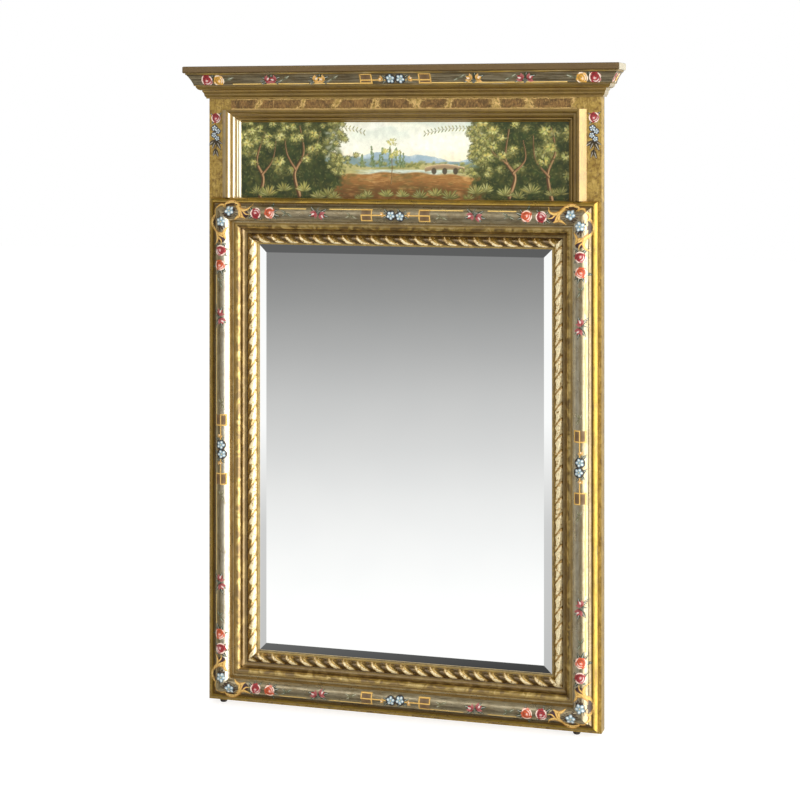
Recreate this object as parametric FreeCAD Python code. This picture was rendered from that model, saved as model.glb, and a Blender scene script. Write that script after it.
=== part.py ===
"""Trumeau mirror: a bevelled mirror under a framed picture panel, with a cornice.

Millimetres. +Z is up, the front faces -Y and the wall is at +Y. The origin is at
the bottom centre of the whole object. Depths ("d") are measured forward from the
back of the carcass, and "u" is measured inward from a frame's outer edge.
"""
import FreeCAD
import Part
import os

Vec = FreeCAD.Vector

# ---------------------------------------------------------------- driving sizes

# carcass of five boards
carcass_width = 830.0
carcass_depth = 31.5
stile_width = 49.0
tenon_length = 32.0
tenon_thickness = 10.0
tenon_shoulder = 8.0
tenon_clearance = 0.3

# lower frame, outer edge to outer edge, set in from the carcass sides and bottom
frame_inset = 5.5
frame_height = 1042.0

# painted moulding of the lower frame; each rise is measured from the carcass face
bead_width = 9.0
bead_rise = 15.0
bead_side = 3.5
quirk_width = 2.5
quirk_drop = 1.5
scotia_width = 5.0
cushion_width = 31.5
cushion_outer_rise = 19.0
cushion_inner_rise = 11.0
silver_fillet_width = 5.0
silver_fillet_rise = 7.0
silver_fillet_fall = 0.5

# gilt liner inside it
liner_rise = 5.0
liner_flat = 2.5
ovolo_width = 9.0
ovolo_drop = 8.5
liner_quirk = 1.0
cove_width = 9.0
cove_drop = 7.5
rope_width = 16.5
rope_gap = 0.9
rope_seat_drop = 4.0
sight_fillet_width = 7.4
sight_fillet_rise = 1.0
sight_edge_thickness = 3.5
sight_edge_round = 1.0
liner_clearance = 0.3

# mirror glass and what holds it
glass_thickness = 5.0
glass_lap = 8.5
glass_clearance = 1.0
bevel_width = 25.4
bevel_depth = 2.0
backing_thickness = 3.0
clip_length = 32.0
clip_width = 14.0
clip_thickness = 1.5
clip_lap = 14.0
screw_head_diameter = 7.0
screw_head_height = 1.5
screw_shank_diameter = 3.0
screw_length = 14.0
sink_height = 2.5
mirror_clips_across = 3
mirror_clips_down = 4

# picture panel and the stepped moulding round its left, top and right
picture_height = 156.5
picture_side_margin = 67.1
picture_top_margin = 101.5
picture_setback = 11.5
picture_thickness = 4.0
picture_clearance = 0.7
picture_rest_height = 8.0
batten_width = 9.0
batten_thickness = 8.0
step_band = 25.5
crest_rise = 13.5
crest_flat = 2.0
slope_width = 12.0
step_width = 6.5
step_drop = 6.5
step_quirk = 1.5
picture_bead_width = 5.0
picture_edge = 1.0

# cornice
cornice_projection = 43.0
cornice_board_thickness = 14.0
cornice_board_round = 2.5
board_screw_count = 5
board_screw_length = 40.0
crown_height = 26.0
crown_top = 38.5
crown_fillet_height = 3.0
crown_fillet_step = 2.2
crown_fillet_fall = 1.0
crown_foot = 25.0
crown_foot_height = 1.5
bed_height = 26.0
bed_top = 22.0
bed_ovolo_drop = 9.0
bed_ovolo_step = 9.5
bed_fillet_inset = 1.0
bed_fillet_height = 3.0
bed_foot = 5.0
bed_foot_height = 2.5

# foot glides
foot_height = 8.5
foot_diameter = 15.0
foot_depth = 18.0
foot_inset_left = 27.0
foot_inset_right = 52.0
foot_round = 4.0

# hanging hardware on the back of the stiles
hanger_drop = 215.0
strap_width = 12.0
strap_thickness = 1.0
strap_length = 46.0
strap_screw_first = 25.0
strap_screw_pitch = 13.0
ring_wire = 3.0
ring_inner_width = 18.0
ring_inner_height = 13.0
ring_clearance = 0.1
ring_plate_gap = 0.3
hanger_screw_length = 18.0

# wall bumpers
bumper_diameter = 20.0
bumper_thickness = 6.0
bumper_rise = 45.0

# bends of an outline's edges: the rise of an arc's middle over its chord
half_round = 0.5
cushion_bend_ratio = 0.47
full_bead = 0.4
quarter_round = 0.207
slight_bend = 0.12
faint_bend = 0.045

# how far a cutting solid runs past the faces that it cuts, and what counts as flat
cut_margin = 1.0
flat_limit = 0.01

# ---------------------------------------------------------------- derived places

depth_total = bumper_thickness + carcass_depth + cornice_projection
back_y = depth_total / 2 - bumper_thickness
carcass_half = carcass_width / 2
carcass_low = foot_height
frame_half = carcass_half - frame_inset
frame_low = carcass_low + frame_inset
frame_high = frame_low + frame_height
picture_high = frame_high + picture_height
carcass_high = picture_high + picture_top_margin

opening_half = carcass_half - stile_width
opening_u = frame_half - opening_half
opening_low = frame_low + opening_u
opening_high = frame_high - opening_u

cushion_start = bead_width + quirk_width + scotia_width
cushion_end = cushion_start + cushion_width
painted_width = cushion_end + silver_fillet_width
liner_outer = opening_u + liner_clearance
ovolo_start = painted_width + liner_flat
cove_start = ovolo_start + ovolo_width
rope_start = cove_start + cove_width
sight_start = rope_start + rope_width
sight_u = sight_start + sight_fillet_width
liner_front = carcass_depth + liner_rise
ovolo_end_front = liner_front - ovolo_drop
cove_start_front = ovolo_end_front - liner_quirk
cove_end_front = cove_start_front - cove_drop
rope_seat_outer = cove_end_front - liner_quirk
rope_seat_inner = rope_seat_outer - rope_seat_drop
sight_front = rope_seat_inner + sight_fillet_rise
sight_back = sight_front - sight_edge_thickness
glass_u = sight_u - glass_lap
rabbet_u = glass_u - glass_clearance
backing_front = sight_back - glass_thickness
liner_back = backing_front - backing_thickness

picture_front = carcass_depth - picture_setback
picture_back = picture_front - picture_thickness
picture_board_back = picture_back - backing_thickness
picture_half_width = carcass_half - picture_side_margin
crest_front = carcass_depth + crest_rise
crest_half = picture_half_width + step_band
crest_high = picture_high + step_band
slope_half = crest_half + slope_width
picture_lap = opening_half - picture_half_width
rebate_top = picture_high + picture_lap
picture_rest = frame_high - picture_rest_height

cornice_half = carcass_half + cornice_projection
cornice_front = carcass_depth + cornice_projection
bed_low = carcass_high - crown_height - bed_height
crown_low = carcass_high - crown_height

loop_radius = ring_wire / 2 + ring_clearance
loop_outer = loop_radius + strap_thickness
loop_offset = strap_thickness + ring_plate_gap + ring_wire / 2
hanger_x = carcass_half - stile_width / 2
hanger_z = carcass_high - hanger_drop

# ---------------------------------------------------------------- small helpers


def edge_to(start, end, bend, place):
    """A straight edge, or an arc that bends to the left of the way along."""
    if bend == 0:
        return Part.LineSegment(place(*start), place(*end)).toShape()
    across = ((start[1] - end[1]) * bend, (end[0] - start[0]) * bend)
    middle = ((start[0] + end[0]) / 2 + across[0], (start[1] + end[1]) / 2 + across[1])
    return Part.Arc(place(*start), place(*middle), place(*end)).toShape()


def section_face(outline, place):
    """A closed face from (a, b) or (a, b, bend) points; bend is that of the edge ending there."""
    edges = []
    for index, point in enumerate(outline):
        before = outline[index - 1]
        bend = point[2] if len(point) > 2 else 0
        edges.append(edge_to(before[:2], point[:2], bend, place))
    return Part.Face(Part.Wire(edges))


def block(x0, x1, d0, d1, z0, z1):
    """A box between two widths, two depths from the carcass back and two heights."""
    return Part.makeBox(x1 - x0, d1 - d0, z1 - z0, Vec(x0, back_y - d1, z0))


def slab_xz(points, d0, d1):
    """A flat polygon in X and Z, as thick as the depths d0 to d1."""
    corners = [Vec(x, back_y - d0, z) for x, z in points]
    return Part.Face(Part.makePolygon(corners + corners[:1])).extrude(Vec(0, d0 - d1, 0))


def slab_xy(points, z0, z1):
    """A flat polygon in X and depth, between two heights."""
    corners = [Vec(x, back_y - d, z0) for x, d in points]
    return Part.Face(Part.makePolygon(corners + corners[:1])).extrude(Vec(0, 0, z1 - z0))


def rod(x, z, d0, d1, radius):
    """A round rod along Y between two depths."""
    return Part.makeCylinder(radius, abs(d1 - d0), Vec(x, back_y - min(d0, d1), z), Vec(0, -1, 0))


def save(name, *solids):
    """Write one node: its solids stay separate."""
    shape = solids[0] if len(solids) == 1 else Part.makeCompound(list(solids))
    shape.exportStep("parts/%s.step" % name)


# ---------------------------------------------------------------- carcass


def tenon(side, low, high):
    """A rail's tenon, out into the stile on one side (-1 left, 1 right)."""
    inner = side * opening_half
    outer = side * (opening_half + tenon_length)
    middle = carcass_depth / 2
    half = tenon_thickness / 2
    return block(min(inner, outer), max(inner, outer), middle - half, middle + half,
                 low + tenon_shoulder, high - tenon_shoulder)


def mortise(side, low, high):
    """The stile's pocket for that tenon."""
    inner = side * (opening_half - cut_margin)
    outer = side * (opening_half + tenon_length + tenon_clearance)
    middle = carcass_depth / 2
    half = tenon_thickness / 2 + tenon_clearance
    grow = tenon_clearance
    return block(min(inner, outer), max(inner, outer), middle - half, middle + half,
                 low + tenon_shoulder - grow, high - tenon_shoulder + grow)


rail_levels = {
    "bottom_rail": (carcass_low, opening_low),
    "mid_rail": (opening_high, frame_high),
    "top_rail": (rebate_top, carcass_high),
}


def make_rail(name):
    """A cross board with its tenons; the middle one is rebated for the picture."""
    low, high = rail_levels[name]
    rail = block(-opening_half, opening_half, 0, carcass_depth, low, high)
    for side in (-1, 1):
        rail = rail.fuse(tenon(side, low, high))
    if name == "mid_rail":
        above = high + cut_margin
        rail = rail.cut(block(-opening_half, opening_half, -cut_margin, picture_front, picture_rest, above))
    if name == "top_rail":
        for place in board_screw_places():
            rail = rail.cut(make_board_screw(place))
    for hole in strap_screw_holes():
        rail = rail.cut(hole)
    return rail.removeSplitter()


def make_stile(side):
    """An upright board with its mortises and the strap's screw holes."""
    inner = side * opening_half
    outer = side * carcass_half
    stile = block(min(inner, outer), max(inner, outer), 0, carcass_depth, carcass_low, carcass_high)
    for low, high in rail_levels.values():
        stile = stile.cut(mortise(side, low, high))
    for hole in strap_screw_holes():
        stile = stile.cut(hole)
    return stile


# ---------------------------------------------------------------- mitred frames


def frame_bar(outline, side, half, low, high, reach):
    """One side of a mitred frame: its section swept along the side, cut at 45 degrees."""
    places = {
        "left": lambda u, d: Vec(-half + u, back_y - d, low),
        "right": lambda u, d: Vec(half - u, back_y - d, low),
        "bottom": lambda u, d: Vec(-half, back_y - d, low + u),
        "top": lambda u, d: Vec(-half, back_y - d, high - u),
    }
    upright = side in ("left", "right")
    length = Vec(0, 0, high - low) if upright else Vec(2 * half, 0, 0)
    bar = section_face(outline, places[side]).extrude(length)
    corners = {
        "left": [(-half, low), (-half, high), (-half + reach, high - reach), (-half + reach, low + reach)],
        "right": [(half, low), (half, high), (half - reach, high - reach), (half - reach, low + reach)],
        "bottom": [(-half, low), (half, low), (half - reach, low + reach), (-half + reach, low + reach)],
        "top": [(-half, high), (half, high), (half - reach, high - reach), (-half + reach, high - reach)],
    }
    return bar.common(slab_xz(corners[side], 0, cornice_front))


def painted_outline():
    """Bead, quirk, scotia, cushion and silver fillet; its back lies on the carcass face."""
    face = carcass_depth
    quirk = face + bead_rise - quirk_drop
    fillet = face + silver_fillet_rise
    return [
        (0, face),
        (0, face + bead_side),
        (bead_width, face + bead_rise, quarter_round),
        (bead_width, quirk),
        (bead_width + quirk_width, quirk),
        (cushion_start, face + cushion_outer_rise, -slight_bend),
        (cushion_end, face + cushion_inner_rise, cushion_bend_ratio),
        (cushion_end, fillet),
        (painted_width, fillet - silver_fillet_fall),
        (painted_width, face),
    ]


def liner_outline():
    """Gilt section trapped behind the painted moulding: ovolo, cove, rope seat, sight edge."""
    return [
        (liner_outer, liner_back),
        (liner_outer, carcass_depth),
        (painted_width, carcass_depth),
        (painted_width, liner_front),
        (ovolo_start, liner_front),
        (cove_start, ovolo_end_front, quarter_round),
        (cove_start, cove_start_front),
        (rope_start, cove_end_front, -quarter_round),
        (rope_start, rope_seat_outer),
        (sight_start, rope_seat_inner),
        (sight_start, sight_front),
        (sight_u - sight_edge_round, sight_front),
        (sight_u, sight_front - sight_edge_round, quarter_round),
        (sight_u, sight_back),
        (rabbet_u, sight_back),
        (rabbet_u, liner_back),
    ]


def rope_outline():
    """The half-round slip that the rope is carved from, flat on its seat."""
    fall = rope_seat_drop / rope_width * rope_gap
    return [
        (rope_start + rope_gap, rope_seat_outer - fall),
        (sight_start - rope_gap, rope_seat_inner + fall, half_round),
    ]


# ---------------------------------------------------------------- mirror


def make_glass():
    """A plate whose front edge is ground to a wide flat bevel."""
    half = frame_half - glass_u
    low = frame_low + glass_u
    high = frame_high - glass_u
    front = sight_back
    edge = front - bevel_depth
    plate = block(-half, half, backing_front, edge, low, high)

    def ring(inset, depth):
        points = [(-half + inset, low + inset), (half - inset, low + inset),
                  (half - inset, high - inset), (-half + inset, high - inset)]
        corners = [Vec(x, back_y - depth, z) for x, z in points]
        return Part.makePolygon(corners + corners[:1])

    crown = Part.makeLoft([ring(0, edge), ring(bevel_width, front)], True, True)
    return plate.fuse(crown).removeSplitter()


def make_mirror_backing():
    """The board behind the glass, of the same size."""
    half = frame_half - glass_u
    return block(-half, half, liner_back, backing_front, frame_low + glass_u, frame_high - glass_u)


def spread(low, high, count):
    """Evenly spaced places, each in the middle of its share of the way."""
    pitch = (high - low) / count
    return [low + pitch * (index + 0.5) for index in range(count)]


def clip_places():
    """Where the flat clips sit: (x, z, direction over the board, depth of their seat)."""
    half = frame_half - rabbet_u
    low = frame_low + rabbet_u
    high = frame_high - rabbet_u
    places = []
    for z in spread(low, high, mirror_clips_down):
        places.append((-half, z, (1, 0), liner_back))
        places.append((half, z, (-1, 0), liner_back))
    for x in spread(-half, half, mirror_clips_across):
        places.append((x, low, (0, 1), liner_back))
        places.append((x, high, (0, -1), liner_back))
    return places


def make_clip(place):
    """A flat clip: screwed to the wood behind it, lapping over the board."""
    x, z, way, seat = place
    over = clip_lap
    back = clip_length - clip_lap
    if way[0]:
        x0, x1 = sorted((x - way[0] * back, x + way[0] * over))
        plate = block(x0, x1, seat - clip_thickness, seat, z - clip_width / 2, z + clip_width / 2)
    else:
        z0, z1 = sorted((z - way[1] * back, z + way[1] * over))
        plate = block(x - clip_width / 2, x + clip_width / 2, seat - clip_thickness, seat, z0, z1)
    sx, sz = screw_spot(place)
    return plate.cut(rod(sx, sz, seat - clip_thickness, seat, screw_shank_diameter / 2))


def screw_spot(place):
    """Where a clip's screw goes: the middle of the part that lies on the wood."""
    x, z, way, _ = place
    out = (clip_length - clip_lap) / 2
    return x - way[0] * out, z - way[1] * out


def make_screw(x, z, seat, length):
    """A pan-head screw driven forward, its head on the seat depth."""
    head = rod(x, z, seat - screw_head_height, seat, screw_head_diameter / 2)
    return head.fuse(screw_shank(x, z, seat, length)).removeSplitter()


def screw_shank(x, z, seat, length):
    """The threaded length below the head, and the hole that it makes in the wood."""
    return rod(x, z, seat, seat + length, screw_shank_diameter / 2)


def make_liner(side_name):
    """One liner bar with the holes of the clip screws that enter it."""
    liner = frame_bar(liner_outline(), side_name, frame_half, frame_low, frame_high, sight_u)
    for place in clip_places():
        x, z = screw_spot(place)
        hole = screw_shank(x, z, place[3] - clip_thickness, screw_length)
        if hole.BoundBox.intersect(liner.BoundBox):
            liner = liner.cut(hole)
    return liner


# ---------------------------------------------------------------- picture


def make_picture_panel():
    """The painted board, loose by its clearance in the carcass opening."""
    half = opening_half - picture_clearance
    low = picture_rest + picture_clearance
    high = rebate_top - picture_clearance
    return block(-half, half, picture_back, picture_front, low, high)


def make_picture_backing():
    """The second board, right behind the painted one."""
    half = opening_half - picture_clearance
    low = picture_rest + picture_clearance
    high = rebate_top - picture_clearance
    return block(-half, half, picture_board_back, picture_back, low, high)


def picture_battens():
    """Four square battens that hold the boards in the opening from behind, by side."""
    half = opening_half
    inner = half - batten_width
    front = picture_board_back
    back = front - batten_thickness
    low = picture_rest
    high = rebate_top
    low_inner = low + batten_width
    high_inner = high - batten_width
    return {
        "left": block(-half, -inner, back, front, low_inner, high_inner),
        "right": block(inner, half, back, front, low_inner, high_inner),
        "top": block(-half, half, back, front, high_inner, high),
        "bottom": block(-half, half, back, front, low, low_inner),
    }


def step_outline():
    """Stepped section, v inward from its crest's outer edge, with a tongue in the opening."""
    first = crest_flat + step_width
    first_low = crest_front - step_drop - step_quirk
    second_flat = first + step_quirk
    second = second_flat + step_width
    second_low = first_low - step_drop - step_quirk
    bead = second + picture_bead_width
    seat = step_band - picture_lap + picture_clearance
    return [
        (0, carcass_depth),
        (0, crest_front),
        (crest_flat, crest_front),
        (first, crest_front - step_drop, quarter_round),
        (first, first_low),
        (second_flat, first_low),
        (second, first_low - step_drop, quarter_round),
        (second, second_low),
        (bead, second_low, full_bead),
        (bead, second_low - step_quirk),
        (step_band, picture_front + picture_edge, -slight_bend),
        (step_band, picture_front),
        (seat, picture_front),
        (seat, carcass_depth),
    ]


def make_upper_side(side):
    """A side moulding: bevelled slope outside, steps inside, mitred at its top only."""
    low = frame_high
    steps = section_face(step_outline(), lambda v, d: Vec(side * (crest_half - v), back_y - d, low))
    steps = steps.extrude(Vec(0, 0, crest_high - low))
    keep = [(side * crest_half, low), (side * crest_half, crest_high),
            (side * picture_half_width, picture_high), (side * picture_half_width, low)]
    steps = steps.common(slab_xz(keep, 0, cornice_front))
    wedge = [(slope_half, carcass_depth), (crest_half, crest_front), (crest_half, carcass_depth)]
    slope = section_face(wedge, lambda x, d: Vec(side * x, back_y - d, low))
    slope = slope.extrude(Vec(0, 0, crest_high - low))
    return steps.fuse(slope).removeSplitter()


def make_upper_top():
    """The top moulding: square above, steps below, mitred at both ends."""
    bar = section_face(step_outline(), lambda v, d: Vec(-crest_half, back_y - d, crest_high - v))
    bar = bar.extrude(Vec(2 * crest_half, 0, 0))
    keep = [(-crest_half, crest_high), (crest_half, crest_high),
            (picture_half_width, picture_high), (-picture_half_width, picture_high)]
    return bar.common(slab_xz(keep, 0, cornice_front))


# ---------------------------------------------------------------- cornice


def crown_outline():
    """Crown section: (projection, height) from the carcass face, with its sloping field."""
    under = carcass_high - crown_fillet_height
    return [
        (0, crown_low),
        (0, carcass_high),
        (crown_top, carcass_high),
        (crown_top, under),
        (crown_top - crown_fillet_step, under - crown_fillet_fall),
        (crown_foot, crown_low + crown_foot_height, -faint_bend),
        (crown_foot, crown_low),
    ]


def bed_outline():
    """Bed section under the crown: ovolo, fillet, cyma and a small foot."""
    ovolo_low = crown_low - bed_ovolo_drop
    ovolo_in = bed_top - bed_ovolo_step
    fillet = ovolo_in - bed_fillet_inset
    cyma_top = ovolo_low - bed_fillet_height
    cyma_low = bed_low + bed_foot_height
    return [
        (0, bed_low),
        (0, crown_low),
        (bed_top, crown_low),
        (ovolo_in, ovolo_low, quarter_round),
        (fillet, ovolo_low),
        (fillet, cyma_top),
        ((fillet + bed_foot) / 2, (cyma_top + cyma_low) / 2, -slight_bend),
        (bed_foot, cyma_low, slight_bend),
        (bed_foot, bed_low),
    ]


def cornice_front_bar(outline):
    """The front length of a cornice moulding, mitred at both ends."""
    bar = section_face(outline, lambda p, z: Vec(-cornice_half, back_y - carcass_depth - p, z))
    bar = bar.extrude(Vec(2 * cornice_half, 0, 0))
    reach = cornice_projection
    keep = [(-carcass_half, carcass_depth), (carcass_half, carcass_depth),
            (carcass_half + reach, carcass_depth + reach), (-carcass_half - reach, carcass_depth + reach)]
    return bar.common(slab_xy(keep, bed_low, carcass_high))


def cornice_return(outline, side):
    """A side length of a cornice moulding, from the wall to the front mitre."""
    bar = section_face(outline, lambda p, z: Vec(side * (carcass_half + p), back_y, z))
    bar = bar.extrude(Vec(0, -cornice_front, 0))
    reach = cornice_projection
    keep = [(side * carcass_half, 0), (side * carcass_half, carcass_depth),
            (side * (carcass_half + reach), carcass_depth + reach), (side * (carcass_half + reach), 0)]
    return bar.common(slab_xy(keep, bed_low, carcass_high))


def board_screw_places():
    """Where the screws go down through the top board: (x, y)."""
    return [(x, back_y - carcass_depth / 2) for x in spread(-carcass_half, carcass_half, board_screw_count)]


def make_board_screw(place):
    """A countersunk screw, flush with the top board and driven down into the top rail."""
    x, y = place
    top = carcass_high + cornice_board_thickness
    head = Part.makeCone(screw_shank_diameter / 2, screw_head_diameter / 2, sink_height,
                         Vec(x, y, top - sink_height))
    shank = Part.makeCylinder(screw_shank_diameter / 2, board_screw_length,
                              Vec(x, y, top - board_screw_length))
    return shank.fuse(head).removeSplitter()


def make_cornice_board():
    """The flat top board, with its front and side edges eased."""
    top = carcass_high + cornice_board_thickness
    board = block(-cornice_half, cornice_half, 0, cornice_front, carcass_high, top)
    outer = []
    for edge in board.Edges:
        box = edge.BoundBox
        level = box.ZLength < flat_limit
        at_wall = box.YMin > back_y - flat_limit
        if level and not at_wall:
            outer.append(edge)
    board = board.makeFillet(cornice_board_round, outer)
    for place in board_screw_places():
        board = board.cut(make_board_screw(place))
    return board


# ---------------------------------------------------------------- feet and wall side


def make_foot(x):
    """A domed round glide under the bottom rail or stile."""
    radius = foot_diameter / 2
    foot = Part.makeCylinder(radius, foot_height, Vec(x, back_y - foot_depth, 0))
    low_edge = [edge for edge in foot.Edges if edge.BoundBox.ZMax < flat_limit]
    return foot.makeFillet(foot_round, low_edge)


def make_bumper(side):
    """A flat round rubber pad low on the back of a stile."""
    x = side * hanger_x
    z = carcass_low + bumper_rise
    return rod(x, z, -bumper_thickness, 0, bumper_diameter / 2)


def make_strap(side):
    """A steel strap: its loop holds the ring's bar, its plate is screwed to the stile."""
    x = side * hanger_x
    half = strap_width / 2
    axis = Vec(x - half, back_y + loop_offset, hanger_z)
    loop = Part.makeCylinder(loop_outer, strap_width, axis, Vec(1, 0, 0))
    plate = block(x - half, x + half, -strap_thickness, 0, hanger_z - strap_length, hanger_z)
    strap = loop.fuse(plate)
    strap = strap.cut(Part.makeCylinder(loop_radius, strap_width, axis, Vec(1, 0, 0)))
    for z in strap_screw_levels():
        strap = strap.cut(rod(x, z, -strap_thickness, 0, screw_shank_diameter / 2))
    return strap.removeSplitter()


def strap_screw_levels():
    """Heights of the two screws below a strap's loop."""
    first = hanger_z - strap_screw_first
    return [first, first - strap_screw_pitch]


def strap_screw_holes():
    """The holes that the straps' screws make, whichever boards they enter."""
    holes = []
    for side in (-1, 1):
        for level in strap_screw_levels():
            holes.append(screw_shank(side * hanger_x, level, -strap_thickness, hanger_screw_length))
    return holes


def make_ring(side):
    """A D-shaped wire ring: a straight bar in the strap's loop and a round bow below it."""
    x = side * hanger_x
    y = back_y + loop_offset
    half = (ring_inner_width + ring_wire) / 2
    drop = ring_inner_height + ring_wire
    shoulder = drop - half
    low = hanger_z - shoulder
    radius = ring_wire / 2
    pieces = [Part.makeCylinder(radius, 2 * half, Vec(x - half, y, hanger_z), Vec(1, 0, 0))]
    for px in (x - half, x + half):
        pieces.append(Part.makeSphere(radius, Vec(px, y, hanger_z)))
        pieces.append(Part.makeCylinder(radius, shoulder, Vec(px, y, hanger_z), Vec(0, 0, -1)))
    bow = Part.makeTorus(half, radius, Vec(x, y, low), Vec(0, 1, 0))
    reach = half + ring_wire
    lower_half = Part.makeBox(2 * reach, 2 * reach, reach, Vec(x - reach, y - reach, low - reach))
    pieces.append(bow.common(lower_half))
    ring = pieces[0]
    for piece in pieces[1:]:
        ring = ring.fuse(piece)
    return ring.removeSplitter()


# ---------------------------------------------------------------- build

os.makedirs("parts", exist_ok=True)

save("stile_left", make_stile(-1))
save("stile_right", make_stile(1))
for rail_name in rail_levels:
    save(rail_name, make_rail(rail_name))

for side_name in ("left", "right", "top", "bottom"):
    frame = (side_name, frame_half, frame_low, frame_high, sight_u)
    save("painted_moulding_" + side_name, frame_bar(painted_outline(), *frame))
    save("gilt_liner_" + side_name, make_liner(side_name))
    save("rope_slip_" + side_name, frame_bar(rope_outline(), *frame))

save("mirror_glass", make_glass())
save("mirror_backing", make_mirror_backing())
save("picture_panel", make_picture_panel())
save("picture_backing", make_picture_backing())

save("backing_clips", *[make_clip(place) for place in clip_places()])
clip_screws = []
for place in clip_places():
    spot = screw_spot(place)
    clip_screws.append(make_screw(spot[0], spot[1], place[3] - clip_thickness, screw_length))
save("clip_screws", *clip_screws)

save("upper_moulding_left", make_upper_side(-1))
save("upper_moulding_right", make_upper_side(1))
save("upper_moulding_top", make_upper_top())

for side_name, batten in picture_battens().items():
    save("picture_batten_" + side_name, batten)

save("cornice_board", make_cornice_board())
save("board_screws", *[make_board_screw(place) for place in board_screw_places()])
save("crown_front", cornice_front_bar(crown_outline()))
save("crown_left", cornice_return(crown_outline(), -1))
save("crown_right", cornice_return(crown_outline(), 1))
save("bed_moulding_front", cornice_front_bar(bed_outline()))
save("bed_moulding_left", cornice_return(bed_outline(), -1))
save("bed_moulding_right", cornice_return(bed_outline(), 1))

save("foot_left", make_foot(-carcass_half + foot_inset_left))
save("foot_right", make_foot(carcass_half - foot_inset_right))
save("wall_bumpers", make_bumper(-1), make_bumper(1))

hanger_screws = []
for side, side_name in ((-1, "left"), (1, "right")):
    save("hanger_strap_" + side_name, make_strap(side))
    save("hanger_ring_" + side_name, make_ring(side))
    for level in strap_screw_levels():
        hanger_screws.append(make_screw(side * hanger_x, level, -strap_thickness, hanger_screw_length))
save("hanger_screws", *hanger_screws)
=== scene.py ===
"""Dressing of a trumeau mirror: its finishes, carved rope, painted ornament, picture and studio.

Metres. +Z is up and the front faces -Y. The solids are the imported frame's own; this file gives
them their finishes and adds the carving and the brushwork that the solids leave out.
"""
import math

import bpy
import numpy as np
from bpy.props import FloatProperty, FloatVectorProperty, IntProperty, PointerProperty
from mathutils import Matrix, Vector
from mathutils.bvhtree import BVHTree


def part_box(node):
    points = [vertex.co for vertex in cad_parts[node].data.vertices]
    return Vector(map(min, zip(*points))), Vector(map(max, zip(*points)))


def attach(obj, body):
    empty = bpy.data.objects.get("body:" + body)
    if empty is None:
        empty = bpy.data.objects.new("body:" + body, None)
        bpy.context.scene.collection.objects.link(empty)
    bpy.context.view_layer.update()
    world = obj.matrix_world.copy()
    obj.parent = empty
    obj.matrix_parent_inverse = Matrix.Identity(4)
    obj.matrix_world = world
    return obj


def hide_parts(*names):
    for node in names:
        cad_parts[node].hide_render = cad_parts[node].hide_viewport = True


bl_info = {
    "name": "Trumeau mirror dressing",
    "version": (1, 0, 0),
    "blender": (4, 5, 0),
    "location": "3D View > Sidebar > Mirror",
    "description": "Finishes, carving, painted ornament and studio of a trumeau mirror",
    "category": "Object",
}

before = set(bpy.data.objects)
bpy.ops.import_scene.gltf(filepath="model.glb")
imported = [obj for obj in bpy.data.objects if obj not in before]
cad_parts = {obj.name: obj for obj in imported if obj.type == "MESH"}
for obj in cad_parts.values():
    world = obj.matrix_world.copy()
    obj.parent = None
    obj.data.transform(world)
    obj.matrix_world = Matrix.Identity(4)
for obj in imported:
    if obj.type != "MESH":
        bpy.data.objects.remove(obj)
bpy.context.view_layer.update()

MM = 0.001
SIDES = ("left", "right", "top", "bottom")
BODY = "mirror"

# ---------------------------------------------------------------- places read from the frame

FRAME_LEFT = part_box("painted_moulding_left")[0].x
FRAME_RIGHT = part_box("painted_moulding_right")[1].x
FRAME_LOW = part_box("painted_moulding_bottom")[0].z
FRAME_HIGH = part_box("painted_moulding_top")[1].z
FRAME_WIDE = FRAME_RIGHT - FRAME_LEFT
FRAME_TALL = FRAME_HIGH - FRAME_LOW
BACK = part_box("stile_left")[1].y
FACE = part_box("stile_left")[0].y
CARCASS_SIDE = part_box("stile_right")[1].x
PICTURE_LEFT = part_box("upper_moulding_left")[1].x
PICTURE_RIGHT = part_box("upper_moulding_right")[0].x
PICTURE_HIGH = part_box("upper_moulding_top")[0].z
PICTURE_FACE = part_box("picture_panel")[0].y
CREST_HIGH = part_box("upper_moulding_top")[1].z
CREST_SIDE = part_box("upper_moulding_top")[1].x
BED_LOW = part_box("bed_moulding_front")[0].z
CROWN_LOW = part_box("crown_front")[0].z
CROWN_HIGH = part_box("crown_front")[1].z
ROPE_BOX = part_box("rope_slip_top")

PAINTED_WIDTH = 53.0           # mm across the painted moulding, where the liner starts
ROPE_TILT = math.radians(13.6)
ROPE_SHIFT = 2.4 * MM          # the carved rope stands this much nearer the glass than its slip
ROPE_SEAT = 8.2 * MM           # its flat side lies this far behind the slip's front
MITRE_ZONE = 26 * MM           # length at each end in which the rope is drawn to the mitre
CAMERA_PLACE = (1.1271, -3.73075, 1.1957)
CAMERA_TURN = math.radians(16.781)
CAMERA_LENS = 86.51            # mm on a sensor 36 mm wide
CAMERA_SHIFT = -0.3371         # the camera is level, as the upright edges stay parallel


def tone(red, green, blue):
    """A screen colour, 0 to 255, as the linear value that a shader takes."""
    def part(value):
        value /= 255
        return value / 12.92 if value <= 0.04045 else ((value + 0.055) / 1.055) ** 2.4
    return part(red), part(green), part(blue)


def rgba(colour):
    return (*colour[:3], 1.0)


def blend_tone(first, second, share):
    return tuple(a + (b - a) * share for a, b in zip(first, second))


# ---------------------------------------------------------------- what a user would change


def colour_setting(name, description, default):
    return FloatVectorProperty(name=name, description=description, subtype="COLOR", size=3,
                               default=default, min=0.0, max=1.0)


def length_setting(name, description, default):
    return FloatProperty(name=name, description=description, default=default, min=0.0,
                         subtype="DISTANCE", unit="LENGTH", precision=4)


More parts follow.
